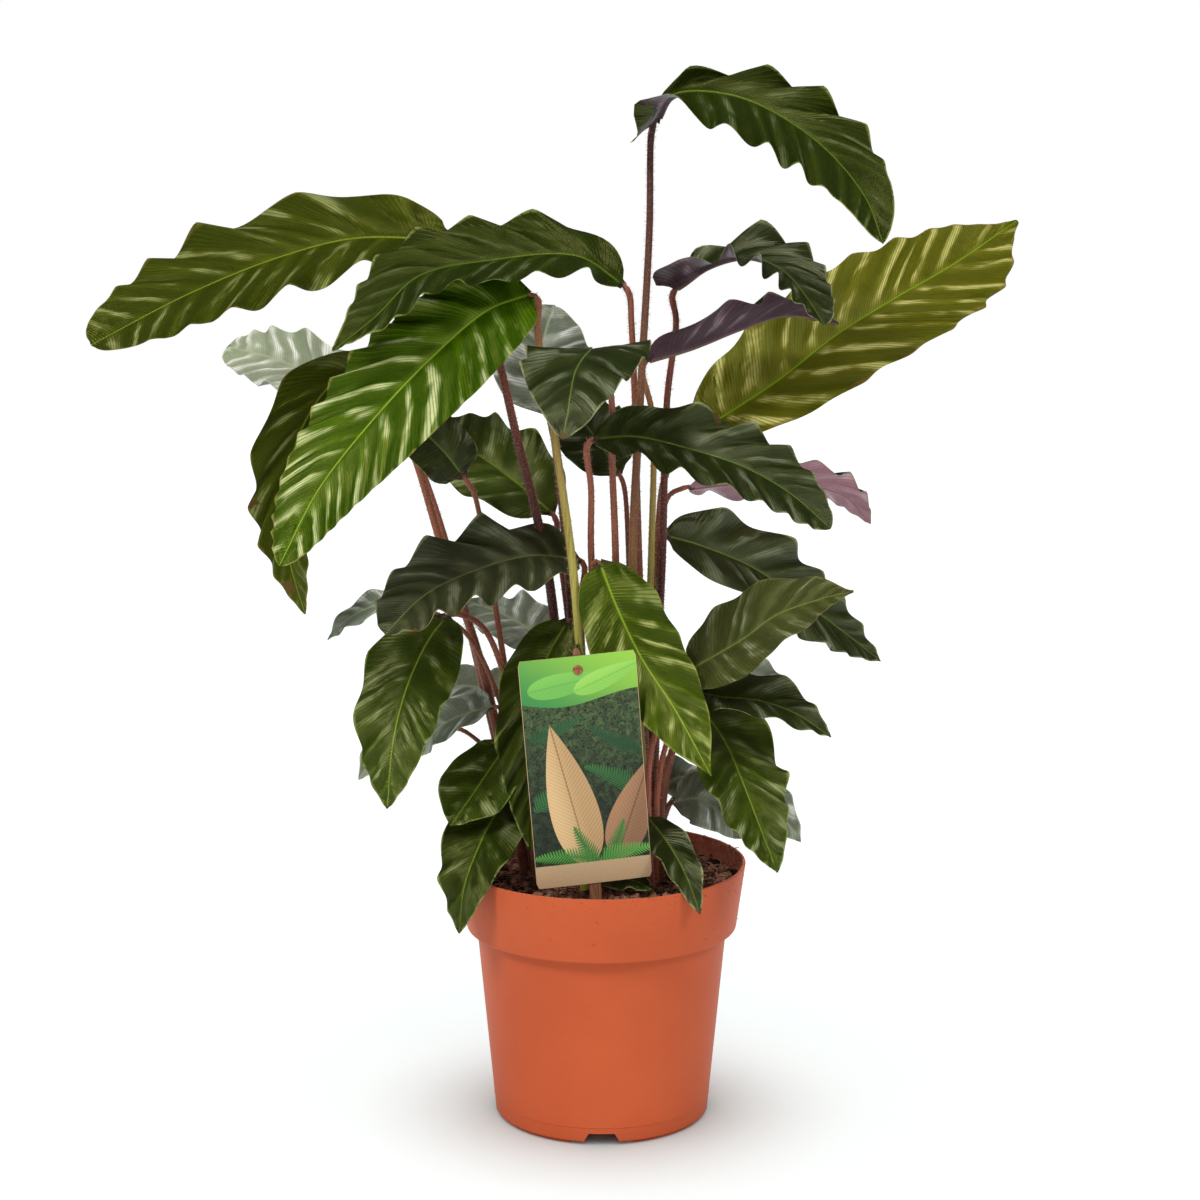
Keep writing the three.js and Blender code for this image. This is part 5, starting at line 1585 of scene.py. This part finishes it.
def cardPiece():
    look = labelSettings
    across, back, up = labelFrame()[2:]
    width, height, corner = labelPrintLook["width"], labelPrintLook["height"], look["cornerRadius"]
    rows, columns = look["cardGrid"]
    top = onStake(look["cardTop"]) - back * look["cardDepth"]
    points, uv = [], []
    for side in (0, 1):
        for row in range(rows + 1):
            for column in range(columns + 1):
                v, u = row / rows, column / columns
                # the outer rows follow the rounded corners
                x, y = (u - 0.5) * width, v * height
                nearEnd = min(y, height - y)
                if nearEnd < corner:
                    pull = corner - math.sqrt(max(corner ** 2 - (corner - nearEnd) ** 2, 0))
                    x *= 1 - 2 * pull / width
                bend = look["bow"] * (2 * x / width) ** 2 + 0.25 * math.sin(v * 4.1 + 0.6)
                depth = side * look["cardThickness"] + bend
                points.append(top + across * x - up * (height - y) + back * depth)
                uv.append((u, v))
    faces, slots = sheetFaces(rows + 1, columns + 1, 1)
    finishes = [printSurface, kraftSurface]
    piece = makePiece("label_sheet", np.array(points) / 1000, faces, finishes, faceSlots=slots, uv=uv,
                      sharp=40)
    return settle(piece, "label_print", "label_card")


def stakePiece():
    look = labelSettings
    foot, tip, across, back, up = labelFrame()
    halfWidth, halfDepth = look["stakeWidth"] / 2, look["stakeThickness"] / 2
    length = np.linalg.norm(tip - foot)
    section = []
    for angle in np.linspace(0, 2 * math.pi, 20, endpoint=False) + math.pi / 20:
        bulge = (abs(math.cos(angle)) ** 5 + abs(math.sin(angle)) ** 5) ** -0.2
        section.append((bulge * math.cos(angle), bulge * math.sin(angle)))
    nearTip = np.array([2.2, 1.5, 0.9, 0.45, 0.15, 0.02])
    stations = np.concatenate([np.linspace(0, length - 3, 30), length - nearTip])
    points = [foot]
    for at in stations:
        # a rounded tip above, a slightly worn point below
        end = max(length - at, 0)
        narrow = math.sqrt(1 - (1 - min(end, 2.4) / 2.4) ** 2) * (0.72 + 0.28 * min(at, 12) / 12)
        narrow *= 0.5 + 0.5 * min(end, 16) / 16
        wobble = 0.1 * math.sin(at * 0.09) + 0.05 * math.sin(at * 0.31)
        for x, y in section:
            level = across * (x * halfWidth * narrow + wobble)
            points.append(foot + up * at + level + back * y * halfDepth * min(1, 0.4 + end))
    points.append(tip)
    faces = cappedFaces(len(stations), len(section))
    piece = makePiece("wooden_stake", np.array(points) / 1000, faces, [woodSurface], sharp=50)
    return settle(piece, "label_stake", "label_stake")


def pinPiece():
    look = labelSettings
    across, back, up = labelFrame()[2:]
    radius, dome = look["pinHead"]
    front = look["cardDepth"] + 0.05
    middle = onStake(look["cardTop"] - look["pinDrop"])
    point, edge = front - look["pinLength"], 0.35
    arc = [(radius * math.cos(angle), front + edge + (dome - edge) * math.sin(angle))
           for angle in np.linspace(0, 1.5, 9)]
    profile = [(0, point), (0.5, point + 0.1), (0.9, point + 0.8), (0.95, front), (radius - 0.3, front),
               (radius - 0.05, front + 0.12), *arc, (0, front + dome)]
    points, faces = turned(profile, 36)
    points = middle + points[:, :1] * across + points[:, 1:2] * up - points[:, 2:] * back
    piece = makePiece("copper_pin", points / 1000, faces, [pinSurface], sharp=60)
    return settle(piece, "label_pin", "label_pin")


printSurface, kraftSurface = printFinish(), kraftFinish()
woodSurface, pinSurface = woodFinish(), pinFinish()
cardPiece()
stakePiece()
pinPiece()
print("label ready")


studioSettings = {
    "cameraDistance": 1.36425,
    "cameraHeight": 0.5246,
    "cameraTilt": 9.05,         # degrees down
    "lens": 71.38,
    "shift": -0.00136,
    "floorSize": 6,
    "floorColour": paint(230, 240, 239),
    "floorGlow": 0.36,          # light of its own, in place of the two side lights
    # the floor glows less near the pot: a painted shadow round its foot, with full glow from the second
    # distance
    "paintedShadowReach": (0.055, 0.15),  # how far from the pot's middle it starts and is full
    "roomLight": 0.26,
    "mirrored": 0.07,           # how bright the room is in reflections
    # lights: name, strength, softness in degrees, how high and from how far round they shine, what
    # they light, and if they show in reflections
    "suns": (
        ("leftLight", 1.7, 16, 48, -40, "plant", True), ("rightLight", 1.0, 18, 45, 44, "plant", True),
        ("frontLight", 0.35, 60, 14, 4, "all", False), ("backLight", 1.35, 45, 60, 176, "plant", False),
        ("floorLight", 2.1, 80, 84, -50, "floor", False),
    ),
}


def floorPiece():
    size = studioSettings["floorSize"]
    corners = [(-size, -size, 0), (size, -size, 0), (size, size, 0), (-size, size, 0)]
    mesh = bpy.data.meshes.new("studioFloor")
    mesh.from_pydata(corners, [], [(0, 1, 2, 3)])
    plain = {"Base_Color": studioSettings["floorColour"], "Emission_Color": (1, 1, 1, 1)}
    material, tree, surface = makeMaterial("paleFloor", roughness=0.85, Specular_IOR_Level=0.1, **plain)
    # less glow close to the pot's axis: a painted shadow round the pot's foot
    away = vectorCalc(tree, "DISTANCE", objectPlace(tree), potAxis, "Value")
    glow = calc(tree, "SQRT", rise(tree, away, *studioSettings["paintedShadowReach"]))
    feed(surface, Emission_Strength=times(tree, glow, studioSettings["floorGlow"]))
    mesh.materials.append(material)
    floor = bpy.data.objects.new("studioFloor", mesh)
    scene.collection.objects.link(floor)
    return floor


# White to the camera, an even soft light to everything else.
def roomWorld():
    look = studioSettings
    world = bpy.data.worlds.new("studioRoom")
    world.use_nodes = True
    tree = world.node_tree
    tree.nodes.clear()
    path = addNode(tree, "ShaderNodeLightPath").outputs
    room = look["roomLight"]
    strength = timesPlus(tree, path["Is Glossy Ray"], look["mirrored"] - room, room)
    soft = addNode(tree, "ShaderNodeBackground", {"Color": (1, 1, 0.98, 1), "Strength": strength})
    white = addNode(tree, "ShaderNodeBackground", {"Color": (1, 1, 1, 1), "Strength": 1.0})
    inputs = {0: path["Is Camera Ray"], 1: soft.outputs[0], 2: white.outputs[0]}
    both = addNode(tree, "ShaderNodeMixShader", inputs)
    addNode(tree, "ShaderNodeOutputWorld", {0: both.outputs[0]})
    scene.world = world


def sunLight(receivers, name, strength, softness, elevation, azimuth, target, mirrored):
    light = bpy.data.lights.new(name, "SUN")
    light.energy = strength
    light.angle = math.radians(softness)
    lamp = bpy.data.objects.new(name, light)
    lamp.rotation_euler = (math.radians(90 - elevation), 0, math.radians(azimuth))
    lamp.visible_glossy = mirrored
    if target in receivers:
        lamp.light_linking.receiver_collection = receivers[target]
    scene.collection.objects.link(lamp)


def studioCamera():
    look = studioSettings
    camera = bpy.data.objects.new("studioCamera", bpy.data.cameras.new("studioCamera"))
    camera.location = (potMiddle.x, potMiddle.y - look["cameraDistance"], look["cameraHeight"])
    camera.rotation_euler = (math.radians(90 - look["cameraTilt"]), 0, 0)
    camera.data.lens = look["lens"]
    camera.data.sensor_width = 36
    camera.data.shift_x = look["shift"]
    scene.collection.objects.link(camera)
    scene.camera = camera


scene.view_settings.view_transform = "Standard"
receivers = {target: bpy.data.collections.new(target + "Lit") for target in ("plant", "floor")}
for piece in scene.objects:
    if piece.type == "MESH":
        receivers["plant"].objects.link(piece)
receivers["floor"].objects.link(floorPiece())
roomWorld()
for sun in studioSettings["suns"]:
    sunLight(receivers, *sun)
studioCamera()
print("studio ready")
